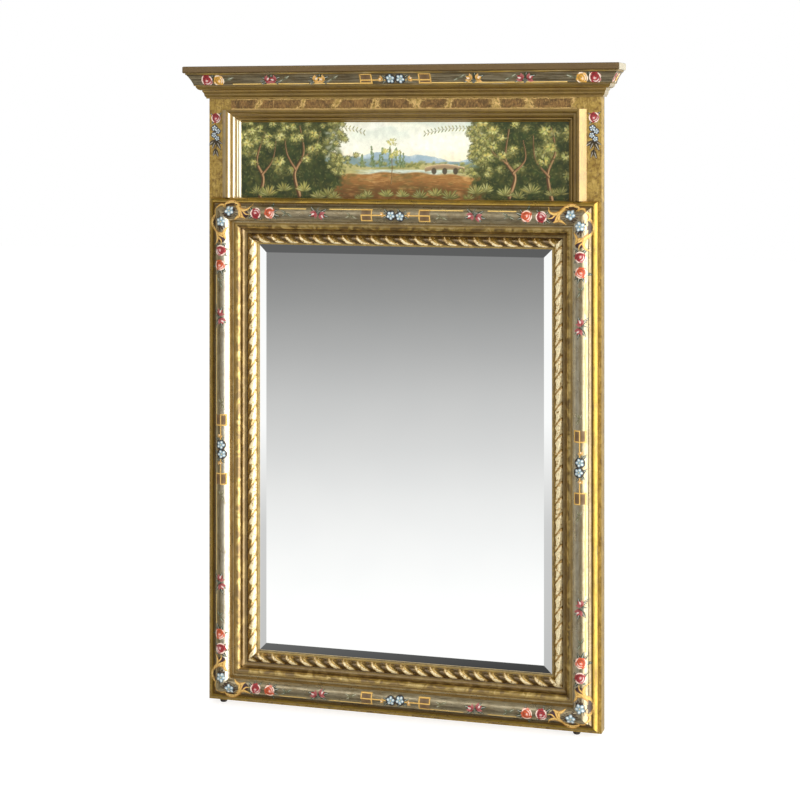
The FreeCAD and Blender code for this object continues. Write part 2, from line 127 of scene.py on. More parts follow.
class GildingSettings(bpy.types.PropertyGroup):
    """Colours of the leaf, the glaze and the bare wood."""

    gold: colour_setting("Gold", "Toned gold leaf on the mouldings", (0.44, 0.272, 0.036))
    gold_deep: colour_setting("Deep gold", "Glaze left in the hollows of the gold", (0.15, 0.08, 0.012))
    gold_pale: colour_setting("Pale gold", "Gold where the glaze is rubbed away", (0.8, 0.59, 0.2))
    silver: colour_setting("Silver", "Toned silver leaf on the cushion and the crown", (0.52, 0.44, 0.28))
    silver_deep: colour_setting("Silver glaze", "Dark glaze over the silver leaf", (0.15, 0.118, 0.066))
    bole: colour_setting("Bole", "Red-brown clay below the leaf", (0.16, 0.055, 0.022))
    softwood: colour_setting("Softwood", "Bare wood on the back", (0.52, 0.36, 0.19))
    board: colour_setting("Hardboard", "Smooth brown board behind the glass", (0.21, 0.125, 0.066))


class CarvingSettings(bpy.types.PropertyGroup):
    """Sizes of the rope that is carved from the slips."""

    pitch: length_setting("Pitch", "Length of one turn along the rope", 31.4 * MM)
    radius: length_setting("Radius", "Radius of the half-round rope", 9.9 * MM)
    groove: length_setting("Groove", "Depth of the groove between two strands", 4.6 * MM)
    slant: FloatProperty(name="Slant", description="Share of a pitch that a strand gains across the rope",
                         default=0.66, min=0.0, max=3.0)
    step: length_setting("Step", "Spacing of the mesh along the rope", 1.25 * MM)
    around: IntProperty(name="Around", description="Mesh points across the half round", default=22, min=8)


class OrnamentSettings(bpy.types.PropertyGroup):
    """Sizes and colours of the brushwork."""

    rose: length_setting("Rose", "Radius of a painted rose", 12.2 * MM)
    blossom: length_setting("Blossom", "Radius of a small blue blossom", 8.2 * MM)
    line: length_setting("Line", "Width of the gold line", 2.3 * MM)
    key: length_setting("Key", "Half the size of a key square", 12.6 * MM)
    lift: length_setting("Lift", "Height of the first coat above the leaf", 0.12 * MM)
    red: colour_setting("Red", "Rose red", tone(176, 44, 50))
    orange: colour_setting("Orange", "Orange rose", tone(222, 92, 46))
    yellow: colour_setting("Yellow", "Yellow rose", tone(236, 176, 66))
    blue: colour_setting("Blue", "Blue blossom", tone(140, 184, 202))
    leaf: colour_setting("Leaf", "Leaf green", tone(62, 70, 46))
    line_gold: colour_setting("Line gold", "Gold paint of lines and scrolls", tone(224, 164, 56))


class StudioSettings(bpy.types.PropertyGroup):
    """Lamps and backdrop."""

    key: FloatProperty(name="Key", description="Power of the large lamp on the right", default=150.0,
                       min=0.0, unit="POWER")
    fill: FloatProperty(name="Fill", description="Power of the soft lamp on the left", default=22.0,
                        min=0.0, unit="POWER")
    daylight: FloatProperty(name="Daylight", description="Even light from all around", default=0.7,
                            min=0.0, max=2.0)


# ---------------------------------------------------------------- finishes


class Finish:
    """A material being mixed: short calls that add its nodes and link them."""

    def __init__(self, name):
        self.material = bpy.data.materials.new(name)
        self.material.use_nodes = True
        self.tree = self.material.node_tree
        self.shader = self.tree.nodes["Principled BSDF"]
        coordinates = self.node("ShaderNodeTexCoord")
        self.place = coordinates.outputs["Object"]
        self.facing = coordinates.outputs["Normal"]
        split = self.node("ShaderNodeSeparateXYZ")
        self.put(split.inputs[0], self.place)
        self.x, self.y, self.z = split.outputs

    def node(self, kind, **settings):
        node = self.tree.nodes.new(kind)
        for key, value in settings.items():
            setattr(node, key, value)
        return node

    def put(self, socket, value):
        if isinstance(value, bpy.types.NodeSocket):
            self.tree.links.new(value, socket)
        else:
            socket.default_value = value

    def sum(self, operation, *values):
        node = self.node("ShaderNodeMath", operation=operation)
        for socket, value in zip(node.inputs, values):
            self.put(socket, value)
        return node.outputs[0]

    def between(self, value, low, high, new_low=0.0, new_high=1.0):
        node = self.node("ShaderNodeMapRange", clamp=True)
        for socket, part in zip(node.inputs, (value, low, high, new_low, new_high)):
            self.put(socket, part)
        return node.outputs[0]

    def mix(self, share, first, second, way="MIX"):
        node = self.node("ShaderNodeMix", data_type="RGBA", blend_type=way)
        self.put(node.inputs[0], share)
        self.put(node.inputs[6], first if isinstance(first, bpy.types.NodeSocket) else rgba(first))
        self.put(node.inputs[7], second if isinstance(second, bpy.types.NodeSocket) else rgba(second))
        return node.outputs[2]

    def bands(self, value, stops, sharp=False):
        """A colour for each stretch of a value from 0 to 1: stops are (place, colour)."""
        node = self.node("ShaderNodeValToRGB")
        ramp = node.color_ramp
        ramp.interpolation = "CONSTANT" if sharp else "LINEAR"
        while len(ramp.elements) < len(stops):
            ramp.elements.new(0.5)
        for element, (place, colour) in zip(ramp.elements, stops):
            element.position = place
            element.color = rgba(colour) if hasattr(colour, "__len__") else (colour, colour, colour, 1.0)
        self.put(node.inputs[0], value)
        return node.outputs[0]

    def stretched(self, along_x, along_y, along_z):
        node = self.node("ShaderNodeVectorMath", operation="MULTIPLY")
        self.put(node.inputs[0], self.place)
        node.inputs[1].default_value = (along_x, along_y, along_z)
        return node.outputs[0]

    def noise(self, scale, detail=4.0, roughness=0.6, where=None, twist=0.0):
        node = self.node("ShaderNodeTexNoise")
        self.put(node.inputs["Vector"], self.place if where is None else where)
        node.inputs["Scale"].default_value = scale
        node.inputs["Detail"].default_value = detail
        node.inputs["Roughness"].default_value = roughness
        node.inputs["Distortion"].default_value = twist
        return node.outputs["Fac"]

    def relief(self, height, strength, distance):
        node = self.node("ShaderNodeBump")
        node.inputs["Strength"].default_value = strength
        node.inputs["Distance"].default_value = distance
        self.put(node.inputs["Height"], height)
        self.put(self.shader.inputs["Normal"], node.outputs[0])

    def finish(self, colour, roughness, metallic=0.0, **sockets):
        self.put(self.shader.inputs["Base Color"],
                 colour if isinstance(colour, bpy.types.NodeSocket) else rgba(colour))
        self.put(self.shader.inputs["Roughness"], roughness)
        self.put(self.shader.inputs["Metallic"], metallic)
        for name, value in sockets.items():
            self.shader.inputs[name.replace("_", " ")].default_value = value
        return self.material

    # ---- parts that several finishes share

    def frame_u(self):
        """Millimetres inward from the lower frame's outer edge, on whichever side is nearest."""
        across = self.sum("MINIMUM", self.sum("SUBTRACT", self.x, FRAME_LEFT),
                          self.sum("SUBTRACT", FRAME_RIGHT, self.x))
        up = self.sum("MINIMUM", self.sum("SUBTRACT", self.z, FRAME_LOW),
                      self.sum("SUBTRACT", FRAME_HIGH, self.z))
        return self.sum("MULTIPLY", self.sum("MINIMUM", across, up), 1 / MM)

    def worn(self, colour, deep, pale, deep_share=0.55, pale_share=0.35, scale=1.0):
        """Leaf laid in small pieces: glaze caught in patches, pale where it is rubbed."""
        broad = self.noise(26 * scale, 3, 0.55, twist=0.4)
        patch = self.noise(95 * scale, 6, 0.68, twist=0.8)
        fleck = self.noise(420 * scale, 3, 0.6)
        glaze = self.between(self.sum("ADD", self.sum("MULTIPLY", broad, 0.45),
                                      self.sum("MULTIPLY", patch, 0.55)),
                             0.46, 0.66)
        rubbed = self.between(self.sum("ADD", self.sum("MULTIPLY", patch, 0.5),
                                       self.sum("MULTIPLY", fleck, 0.5)),
                              0.56, 0.7)
        coloured = self.mix(self.sum("MULTIPLY", glaze, deep_share), colour, deep)
        return self.mix(self.sum("MULTIPLY", rubbed, pale_share), coloured, pale)

    def uneven(self, low, high, scale=70):
        return self.between(self.noise(scale, 4, 0.6), 0.3, 0.7, low, high)


def set_finish(material, *nodes):
    """Give CAD nodes a finish; their meshes stay as they are."""
    for name in nodes:
        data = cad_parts[name].data
        data.materials.clear()
        data.materials.append(material)


def mm_bands(width, stops):
    """Stops given in millimetres across a width, as shares of it."""
    return [(min(max(place / width, 0.0), 1.0), colour) for place, colour in stops]


def silvered_moulding(leaf):
    """The lower frame: gilt bead and quirk, silver-leaf cushion under a dark glaze, pale fillet, and a
    painted highlight down the inner slope of the uprights.
    """
    mix = Finish("silver_leaf_moulding")
    inward = mix.sum("DIVIDE", mix.frame_u(), PAINTED_WIDTH)
    gold, deep = tuple(leaf.gold), tuple(leaf.gold_deep)
    silver, glaze = tuple(leaf.silver), tuple(leaf.silver_deep)
    bead = blend_tone(gold, tuple(leaf.gold_pale), 0.1)
    stops = [(0, bead), (8.6, bead), (9.2, deep), (11.4, deep), (12.2, blend_tone(deep, silver, 0.4)),
             (16.2, blend_tone(deep, silver, 0.55)), (17.2, silver), (25.0, silver),
             (28.0, blend_tone(glaze, silver, 0.55)),
             (36.0, blend_tone(glaze, silver, 0.6)), (40.0, silver), (47.0, blend_tone(glaze, silver, 0.75)),
             (48.3, blend_tone(deep, gold, 0.6)), (50.0, silver), (53.0, gold)]
    ground = mix.bands(inward, mm_bands(PAINTED_WIDTH, stops))
    tall = mix.noise(1, 5, 0.62, where=mix.stretched(260, 260, 34))
    long = mix.noise(1, 5, 0.62, where=mix.stretched(34, 260, 260))
    across = mix.sum("MINIMUM", mix.sum("SUBTRACT", mix.x, FRAME_LEFT),
                     mix.sum("SUBTRACT", FRAME_RIGHT, mix.x))
    up = mix.sum("MINIMUM", mix.sum("SUBTRACT", mix.z, FRAME_LOW), mix.sum("SUBTRACT", FRAME_HIGH, mix.z))
    upright = mix.sum("LESS_THAN", across, up)
    brushed = mix.sum("ADD", mix.sum("MULTIPLY", tall, upright),
                      mix.sum("MULTIPLY", long, mix.sum("SUBTRACT", 1.0, upright)))
    streaked = mix.mix(mix.between(brushed, 0.48, 0.66, 0.0, 0.62), ground, glaze)
    # A pale cream band on the inner slope of the left and right members: painted highlight, the light's
    # reflection on the silver cushion.
    bright = mix.sum("MULTIPLY", upright,
                     mix.sum("MULTIPLY", mix.between(inward, 0.62, 0.74), mix.between(inward, 0.91, 0.87)))
    streaked = mix.mix(mix.sum("MULTIPLY", bright, 0.75), streaked, (0.78, 0.74, 0.62))
    colour = mix.worn(streaked, deep, tuple(leaf.gold_pale), 0.5, 0.22)
    mix.relief(mix.sum("ADD", mix.noise(300, 4), mix.sum("MULTIPLY", brushed, 1.2)), 0.22, 0.0006)
    return mix.finish(colour, mix.uneven(0.24, 0.42), 0.82, Specular_IOR_Level=0.5, Coat_Weight=0.12,
                      Coat_Roughness=0.2)


def gilt_moulding(leaf, name, width, stops, metallic=0.78):
    """Gilt profile of the liner, banded by its distance from the frame's outer edge."""
    mix = Finish(name)
    inward = mix.sum("DIVIDE", mix.sum("SUBTRACT", mix.frame_u(), PAINTED_WIDTH), width)
    ground = mix.bands(inward, mm_bands(width, stops))
    wave = mix.noise(34, 2, 0.5, twist=1.6)
    band = mix.bands(inward, mm_bands(width,
                                      [(0, 0.0), (2.4, 0.3), (5.0, 1.0), (10.0, 1.0), (11.6, 0.25), (18, 0.2),
                                       (44, 0.25)]))
    ground = mix.mix(mix.sum("MULTIPLY", mix.between(wave, 0.5, 0.42, 0.0, 0.75), band), ground,
                     tuple(leaf.gold_deep))
    ground = mix.mix(mix.sum("MULTIPLY", mix.between(wave, 0.53, 0.62, 0.0, 0.8), band), ground,
                     tuple(leaf.gold_pale))
    colour = mix.worn(ground, tuple(leaf.gold_deep), tuple(leaf.gold_pale), 0.55, 0.3, 1.2)
    mix.relief(mix.sum("ADD", mix.noise(340, 4), mix.noise(60, 2)), 0.28, 0.0008)
    return mix.finish(colour, mix.uneven(0.28, 0.46), metallic, Coat_Weight=0.8, Coat_IOR=1.8,
                      Coat_Roughness=0.26)


def plain_gilding(leaf, name, shade=0.0, pale=0.3, metallic=0.78, lengthwise=True, glaze=0.55, ends=0.0,
                  satin=0.0):
    """Gilded moulding with the glaze drawn along it; ends paints a highlight on its side faces."""
    mix = Finish(name)
    ground = blend_tone(tuple(leaf.gold), tuple(leaf.gold_deep), shade)
    along = mix.noise(1, 5, 0.65, where=mix.stretched(14, 330, 330) if lengthwise else mix.stretched(330, 330,
                                                                                                     14))
    drawn = mix.mix(mix.between(along, 0.5, 0.68, 0.0, 0.55), ground, tuple(leaf.gold_deep))
    colour = mix.worn(drawn, tuple(leaf.gold_deep), tuple(leaf.gold_pale), glaze, pale, 1.1)
    # Faces turned to either side are painted pale cream, as much as ends asks: a painted highlight where the
    # light strikes them.
    if ends:
        split = mix.node("ShaderNodeSeparateXYZ")
        mix.put(split.inputs[0], mix.facing)
        colour = mix.mix(mix.between(mix.sum("ABSOLUTE", split.outputs[0]), 0.3, 0.7, 0.0, ends), colour,
                         (0.86, 0.78, 0.58))
    mix.relief(mix.sum("ADD", mix.noise(320, 4), mix.sum("MULTIPLY", along, 0.8)), 0.2, 0.0006)
    return mix.finish(colour, mix.uneven(0.3 + satin, 0.48 + satin), metallic, Coat_Weight=0.8, Coat_IOR=1.8,
                      Coat_Roughness=0.26 + satin)


def rope_gilding(leaf):
    """Carved rope: a painted highlight of pale cream on each strand's lit side, partly rubbed gold; dark
    glaze in the grooves and painted shade on the strand's other side.
    """
    mix = Finish("rope_gilding")
    hollow_and_shade = mix.node("ShaderNodeAttribute", attribute_name="hollow_and_shade").outputs["Fac"]
    rubbed = mix.node("ShaderNodeAttribute", attribute_name="rubbed").outputs["Fac"]
    patchy_highlight = mix.sum("MULTIPLY", rubbed, mix.between(mix.noise(170, 5, 0.7), 0.36, 0.5, 0.25, 1.0))
    ground = mix.mix(hollow_and_shade, tuple(leaf.gold), tuple(leaf.gold_deep))
    ground = mix.worn(ground, tuple(leaf.gold_deep), tuple(leaf.gold_pale), 0.3, 0.2, 1.3)
    # The pale cream mixed in by the rubbed share is a painted highlight, partly rubbed gold.
    warm = mix.mix(mix.between(patchy_highlight, 0.3, 0.75), tone(206, 160, 82), tone(250, 232, 182))
    colour = mix.mix(mix.between(patchy_highlight, 0.05, 0.5), ground, warm)
    mix.relief(mix.noise(420, 4), 0.25, 0.0007)
    return mix.finish(colour, mix.uneven(0.2, 0.34, 120), mix.between(patchy_highlight, 0.1, 0.7, 0.85, 0.2),
                      Coat_Weight=0.8, Coat_IOR=1.8, Coat_Roughness=0.2)


def wood_colour(mix, leaf, along):
    """Bare softwood with its growth lines running along X or Z."""
    grain = mix.stretched(3, 60, 90) if along == "x" else mix.stretched(90, 60, 3)
    lines = mix.noise(1.0, 6, 0.55, where=grain, twist=0.35)
    fine = mix.noise(1.0, 4, 0.6, where=mix.stretched(18, 900, 900) if along == "x" else mix.stretched(900,
                                                                                                       900,
                                                                                                       18))
    dark = tuple(part * 0.62 for part in leaf.softwood)
    colour = mix.mix(mix.between(lines, 0.38, 0.62), tuple(leaf.softwood), dark)
    return mix.mix(mix.between(fine, 0.45, 0.7, 0.0, 0.35), colour,
                   tuple(part * 0.5 for part in leaf.softwood)), lines


def frieze_cartouches(mix, gilded):
    """Mottled brown panels between thin, unsteady pale outlines, as brushed along the frieze."""
    height = mix.between(mix.z, CREST_HIGH, BED_LOW)
    wander = mix.sum("MULTIPLY", mix.sum("SUBTRACT", mix.noise(13, 2, 0.5), 0.5), 1.1)
    turn = mix.sum("FRACT", mix.sum("ADD", mix.sum("DIVIDE", mix.x, 0.084), mix.sum("ADD", wander, 10.7)))
    side = mix.sum("MULTIPLY", mix.sum("ABSOLUTE", mix.sum("SUBTRACT", turn, 0.5)), 0.94)
    ragged = mix.sum("MULTIPLY", mix.sum("SUBTRACT", mix.noise(110, 6, 0.8, twist=0.6), 0.5), 0.5)
    edge = mix.sum("ADD", mix.sum("MAXIMUM", side, mix.sum("ABSOLUTE", mix.sum("SUBTRACT", height, 0.5))),
                   ragged)
    flecks = mix.noise(1, 5, 0.7, where=mix.stretched(520, 260, 120))
    mottle = mix.noise(64, 5, 0.72, twist=1.0)
    panel = mix.mix(mix.between(mottle, 0.4, 0.6), tone(74, 50, 28), tone(150, 110, 62))
    panel = mix.mix(mix.between(flecks, 0.52, 0.66, 0.0, 0.75), panel, tone(206, 164, 98))
    outline = mix.sum("MULTIPLY", mix.between(edge, 0.37, 0.4), mix.between(edge, 0.46, 0.42))
    broken = mix.between(mix.noise(70, 3, 0.6), 0.4, 0.55, 0.35, 1.0)
    gilded = mix.mix(mix.sum("MULTIPLY", mix.between(edge, 0.47, 0.3), 0.86), gilded, panel)
    gilded = mix.mix(mix.sum("MULTIPLY", outline, broken), gilded, tone(244, 206, 132))
    rim = mix.sum("MULTIPLY", mix.between(height, 0.13, 0.08), mix.between(height, 0.0, 0.03))
    return mix.mix(mix.sum("MULTIPLY", rim, broken), gilded, tone(226, 190, 122))


def carcass_finish(leaf, name, along, frieze=False):
    """Antique gold on the faces that show, bare softwood on the back and inside."""
    mix = Finish(name)
    gold, deep, pale = tuple(leaf.gold), tuple(leaf.gold_deep), tuple(leaf.gold_pale)
    warm = blend_tone(gold, pale, 0.3)
    broad = mix.noise(38, 5, 0.62, twist=1.4)
    cloud = mix.noise(120, 6, 0.7, twist=0.9)
    scratch = mix.noise(1, 4, 0.7, where=mix.stretched(60, 60, 420) if along == "x" else mix.stretched(420,
                                                                                                       60,
                                                                                                       60))
    gilded = mix.mix(mix.between(broad, 0.42, 0.62, 0.0, 0.75), warm, blend_tone(gold, deep, 0.55))
    gilded = mix.mix(mix.between(cloud, 0.47, 0.62, 0.0, 0.7), gilded,
                     blend_tone(deep, tuple(leaf.bole), 0.35))
    gilded = mix.mix(mix.between(scratch, 0.54, 0.68, 0.0, 0.6), gilded, pale)
    if frieze:
        gilded = frieze_cartouches(mix, gilded)
    wood, lines = wood_colour(mix, leaf, along)
    split = mix.node("ShaderNodeSeparateXYZ")
    mix.put(split.inputs[0], mix.facing)
    behind = mix.sum("GREATER_THAN", split.outputs[1], 0.5)
    depth = mix.between(mix.y, BACK - 0.0062, BACK - 0.0048)
    # Side faces below the top of the lower frame are mixed towards the deep gold: painted shade on the lower
    # part of the sides.
    lower = mix.sum("MULTIPLY", mix.sum("GREATER_THAN", mix.sum("ABSOLUTE", split.outputs[0]), 0.7),
                    mix.between(mix.z, FRAME_HIGH + 4 * MM, FRAME_HIGH - 4 * MM, 0.0, 0.45))
    gilded = mix.mix(lower, gilded, deep)
    edge_dark = mix.mix(mix.sum("MULTIPLY", depth, 0.72), gilded, tone(58, 44, 28))
    colour = mix.mix(behind, edge_dark, wood)
    mix.relief(mix.sum("ADD", cloud, mix.sum("MULTIPLY", lines, 0.5)), 0.18, 0.0007)
    shine = mix.sum("MULTIPLY", mix.sum("SUBTRACT", 1.0, behind), 0.55)
    return mix.finish(colour, mix.uneven(0.36, 0.55), shine, Specular_IOR_Level=0.45, Coat_Weight=0.25,
                      Coat_IOR=1.6,
                      Coat_Roughness=0.4)


def crown_finish(leaf):
    """Crown moulding: dark silver field brushed lengthwise between gold edges."""
    mix = Finish("crown_silver")
    height = mix.between(mix.z, CROWN_LOW, CROWN_HIGH)
    gold, deep = tuple(leaf.gold), tuple(leaf.gold_deep)
    silver, glaze = tuple(leaf.silver), tuple(leaf.silver_deep)
    field = blend_tone(glaze, silver, 0.46)
    stops = [(0.0, gold), (0.06, gold), (0.075, deep), (0.11, field), (0.5, blend_tone(glaze, silver, 0.6)),
             (0.8, field), (0.87, deep), (0.89, gold), (1.0, blend_tone(gold, tuple(leaf.gold_pale), 0.4))]
    ground = mix.bands(height, stops)
    front = mix.noise(1, 5, 0.66, where=mix.stretched(12, 420, 420))
    streaked = mix.mix(mix.between(front, 0.42, 0.58, 0.0, 0.9), ground, tuple(part * 0.6 for part in glaze))
    light = mix.noise(1, 4, 0.6, where=mix.stretched(16, 640, 640))
    streaked = mix.mix(mix.between(light, 0.53, 0.64, 0.0, 0.75), streaked, silver)
    colour = mix.worn(streaked, deep, tuple(leaf.gold_pale), 0.35, 0.18)
    mix.relief(front, 0.25, 0.0006)
    return mix.finish(colour, mix.uneven(0.32, 0.5), 0.7, Coat_Weight=0.15, Coat_Roughness=0.25)


def bare_wood_finish(leaf, name, along):
    mix = Finish(name)
    colour, lines = wood_colour(mix, leaf, along)
    mix.relief(lines, 0.25, 0.0006)
    return mix.finish(colour, mix.uneven(0.55, 0.75), 0.0, Specular_IOR_Level=0.35)


def hardboard_finish(leaf):
    mix = Finish("brown_hardboard")
    fibre = mix.noise(480, 6, 0.75, twist=0.5)
    cloud = mix.noise(12, 3, 0.5)
    light = tuple(min(part * 1.5, 1.0) for part in leaf.board)
    colour = mix.mix(mix.between(fibre, 0.4, 0.62), tuple(leaf.board), light)
    colour = mix.mix(mix.between(cloud, 0.35, 0.65, 0.0, 0.35), colour,
                     tuple(part * 0.6 for part in leaf.board))
    mix.relief(fibre, 0.15, 0.0004)
    return mix.finish(colour, mix.uneven(0.48, 0.62), 0.0, Specular_IOR_Level=0.4)


def mirror_finish():
    """Silvered glass: a clean reflection, faintly hazed."""
    mix = Finish("silvered_glass")
    haze = mix.noise(7, 2, 0.5)
    colour = mix.mix(mix.between(haze, 0.35, 0.65), (0.955, 0.965, 0.955), (0.94, 0.952, 0.945))
    return mix.finish(colour, 0.006, 1.0)


def metal_finish(name, colour, dark, roughness=0.34):
    mix = Finish(name)
    brushed = mix.noise(1, 4, 0.6, where=mix.stretched(1400, 500, 180))
    blot = mix.noise(160, 4, 0.6)
    tint = mix.mix(mix.between(blot, 0.45, 0.68, 0.0, 0.6), colour, dark)
    mix.relief(brushed, 0.12, 0.0002)
    return mix.finish(tint, mix.between(brushed, 0.3, 0.7, roughness - 0.08, roughness + 0.1), 1.0)


def rubber_finish():
    mix = Finish("matt_rubber")
    dust = mix.noise(700, 4, 0.7)
    colour = mix.mix(mix.between(dust, 0.5, 0.7), tone(52, 47, 42), tone(86, 80, 72))
    mix.relief(dust, 0.2, 0.0003)
    return mix.finish(colour, 0.72, 0.0, Specular_IOR_Level=0.3)


def brushwork_finish(name="ornament_paint", roughness=0.42):
    """Paint whose colours are stored with the strokes."""
    mix = Finish(name)
    paint = mix.node("ShaderNodeAttribute", attribute_name="paint").outputs["Color"]
    bristle = mix.noise(900, 4, 0.7)
    colour = mix.mix(mix.between(bristle, 0.45, 0.75, 0.0, 0.22), paint, (0.09, 0.06, 0.035))
    mix.relief(bristle, 0.18, 0.0004)
    return mix.finish(colour, roughness, 0.0, Specular_IOR_Level=0.5)


def picture_finish():
    """Oil on board under varnish."""
    mix = Finish("picture_paint")
    paint = mix.node("ShaderNodeAttribute", attribute_name="paint").outputs["Color"]
    weave = mix.noise(520, 5, 0.7)
    colour = mix.mix(mix.between(weave, 0.4, 0.8, 0.0, 0.16), paint, tone(70, 60, 34))
    mix.relief(weave, 0.12, 0.0004)
    return mix.finish(colour, 0.34, 0.0, Specular_IOR_Level=0.4)


# ---------------------------------------------------------------- brushwork


def mesh_piece(name, points, faces, material, smooth=True, colours=None, shares=None):
    """A mesh object from its points, riding on the mirror."""
    mesh = bpy.data.meshes.new(name)
    mesh.from_pydata(points, [], faces)
    mesh.polygons.foreach_set("use_smooth", [smooth] * len(mesh.polygons))
    if colours is not None:
        layer = mesh.color_attributes.new("paint", "FLOAT_COLOR", "POINT")
        flat = np.ones((len(points), 4), np.float32)
        flat[:, :3] = np.asarray(colours, np.float32)
        layer.data.foreach_set("color", flat.ravel())
    for key, values in (shares or {}).items():
        layer = mesh.attributes.new(key, "FLOAT", "POINT")
        layer.data.foreach_set("value", np.asarray(values, np.float32))
    mesh.materials.append(material)
    mesh.update()
    piece = bpy.data.objects.new(name, mesh)
    bpy.context.scene.collection.objects.link(piece)
    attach(piece, BODY)
    return piece


def surface_of(*nodes):
    """A search tree over CAD nodes, so that paint can be laid on them."""
    points, faces = [], []
    for name in nodes:
        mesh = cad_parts[name].data
        start = len(points)
        points.extend(vertex.co.copy() for vertex in mesh.vertices)
        faces.extend(tuple(start + index for index in polygon.vertices) for polygon in mesh.polygons)
    return BVHTree.FromPolygons(points, faces)


class Brush:
    """Strokes gathered into one mesh; each point is laid on the surface in front of it."""

    def __init__(self, surface, place, direction=(0, 1, 0), limits=None):
        self.surface = surface
        self.place = place
        self.direction = Vector(direction)
        self.limits = limits
        self.points, self.faces, self.colours = [], [], []

    def lay(self, a, b, lift):
        if self.limits:
            b = min(max(b, self.limits[0]), self.limits[1])
        start = Vector(self.place(a, b))
        hit, normal, _, _ = self.surface.ray_cast(start, self.direction)
        if hit is None:
            hit, normal, _, _ = self.surface.find_nearest(start)
        if normal.dot(self.direction) > 0:
            normal = -normal
        return hit + normal * lift

    def strip(self, rows, tones, lift):
        start, wide = len(self.points), len(rows[0])
        for row, shades in zip(rows, tones):
            for (a, b), shade in zip(row, shades):
                self.points.append(self.lay(a, b, lift))
                self.colours.append(shade)
        for i in range(len(rows) - 1):
            for j in range(wide - 1):
                corner = start + i * wide + j
                self.faces.append((corner, corner + 1, corner + wide + 1, corner + wide))

    def stroke(self, path, width, dark, light, lift, taper=(0.15, 0.15), samples=None, across=4):
        """A loaded stroke along a smooth path: dark on its edges, light down its middle."""
        line = smooth_path(path, samples or max(6, len(path) * 5))
        count = len(line)
        rows, tones = [], []
        for index, (a, b) in enumerate(line):
            t = index / (count - 1)
            before, after = line[max(index - 1, 0)], line[min(index + 1, count - 1)]
            da, db = after[0] - before[0], after[1] - before[1]
            size = math.hypot(da, db) or 1.0
            na, nb = -db / size, da / size
            swell = min(1.0, (t / taper[0]) if taper[0] else 1.0, ((1 - t) / taper[1]) if taper[1] else 1.0)
            half = width / 2 * max(0.12, math.sin(swell * math.pi / 2))
            row, shades = [], []
            for j in range(across + 1):
                c = 2 * j / across - 1
                row.append((a + na * half * c, b + nb * half * c))
                shades.append(blend_tone(light, dark, abs(c - 0.15) ** 1.5))
            rows.append(row)
            tones.append(shades)
        self.strip(rows, tones, lift)

    def dab(self, a, b, length, width, angle, inner, outer, lift, point=0.75):
        """A petal or leaf: a lens of paint that starts at (a, b)."""
        ca, sa = math.cos(angle), math.sin(angle)
        rows, tones = [], []
        for i in range(8):
            t = i / 7
            half = width / 2 * math.sin(math.pi * t ** point) if 0 < t < 1 else width * 0.03
            row, shades = [], []
            for c in (-1, -0.45, 0, 0.45, 1):
                u, v = length * t, half * c
                row.append((a + ca * u - sa * v, b + sa * u + ca * v))
                shades.append(blend_tone(inner, outer, min(1.0, 0.75 * t + 0.35 * abs(c))))
            rows.append(row)
            tones.append(shades)
        self.strip(rows, tones, lift)

    def disc(self, a, b, radius, inner, outer, lift, squash=1.0, turn=0.0):
        rings, around = 4, 18
        rows, tones = [], []
        ct, st = math.cos(turn), math.sin(turn)
        for i in range(rings + 1):
            r = radius * max(i / rings, 0.02)
            row, shades = [], []
            for j in range(around + 1):
                angle = 2 * math.pi * j / around
                u, v = r * math.cos(angle), r * math.sin(angle) * squash
                row.append((a + ct * u - st * v, b + st * u + ct * v))
                shades.append(blend_tone(inner, outer, (i / rings) ** 1.3))
            rows.append(row)
            tones.append(shades)
        self.strip(rows, tones, lift)

    def piece(self, name, material, slot):
        return mesh_piece(name, self.points, self.faces, material, colours=self.colours)


def smooth_path(path, samples):
    """Points along a smooth line through the given ones."""
    if len(path) == 2:
        (a0, b0), (a1, b1) = path
        return [(a0 + (a1 - a0) * i / (samples - 1),
                 b0 + (b1 - b0) * i / (samples - 1)) for i in range(samples)]
    ends = [path[0]] + list(path) + [path[-1]]
    found = []
    spans = len(path) - 1
    for i in range(samples):
        t = i / (samples - 1) * spans
        k = min(int(t), spans - 1)
        f = t - k
        p0, p1, p2, p3 = ends[k:k + 4]
        found.append(tuple(0.5 * (2 * p1[n] + (p2[n] - p0[n]) * f
                                  + (2 * p0[n] - 5 * p1[n] + 4 * p2[n] - p3[n]) * f * f
                                  + (3 * p1[n] - p0[n] - 3 * p2[n] + p3[n]) * f ** 3) for n in (0, 1)))
    return found


def gilt_of(colour, amount):
    """The same gold paint, lighter but still golden."""
    return blend_tone(tuple(colour), tone(255, 226, 142), amount)


def shade_of(colour, amount):
    """A darker (below 0) or paler (above 0) version of a paint."""
    target = (0.02, 0.012, 0.01) if amount < 0 else (1.0, 0.96, 0.86)
    return blend_tone(tuple(colour), target, abs(amount))


def arc_path(a, b, radius, start, end, steps=6, squash=1.0):
    """Points along part of a circle, angles in degrees."""
    return [(a + radius * math.cos(math.radians(start + (end - start) * k / (steps - 1))),
             b + radius * squash * math.sin(math.radians(start + (end - start) * k / (steps - 1))))
            for k in range(steps)]


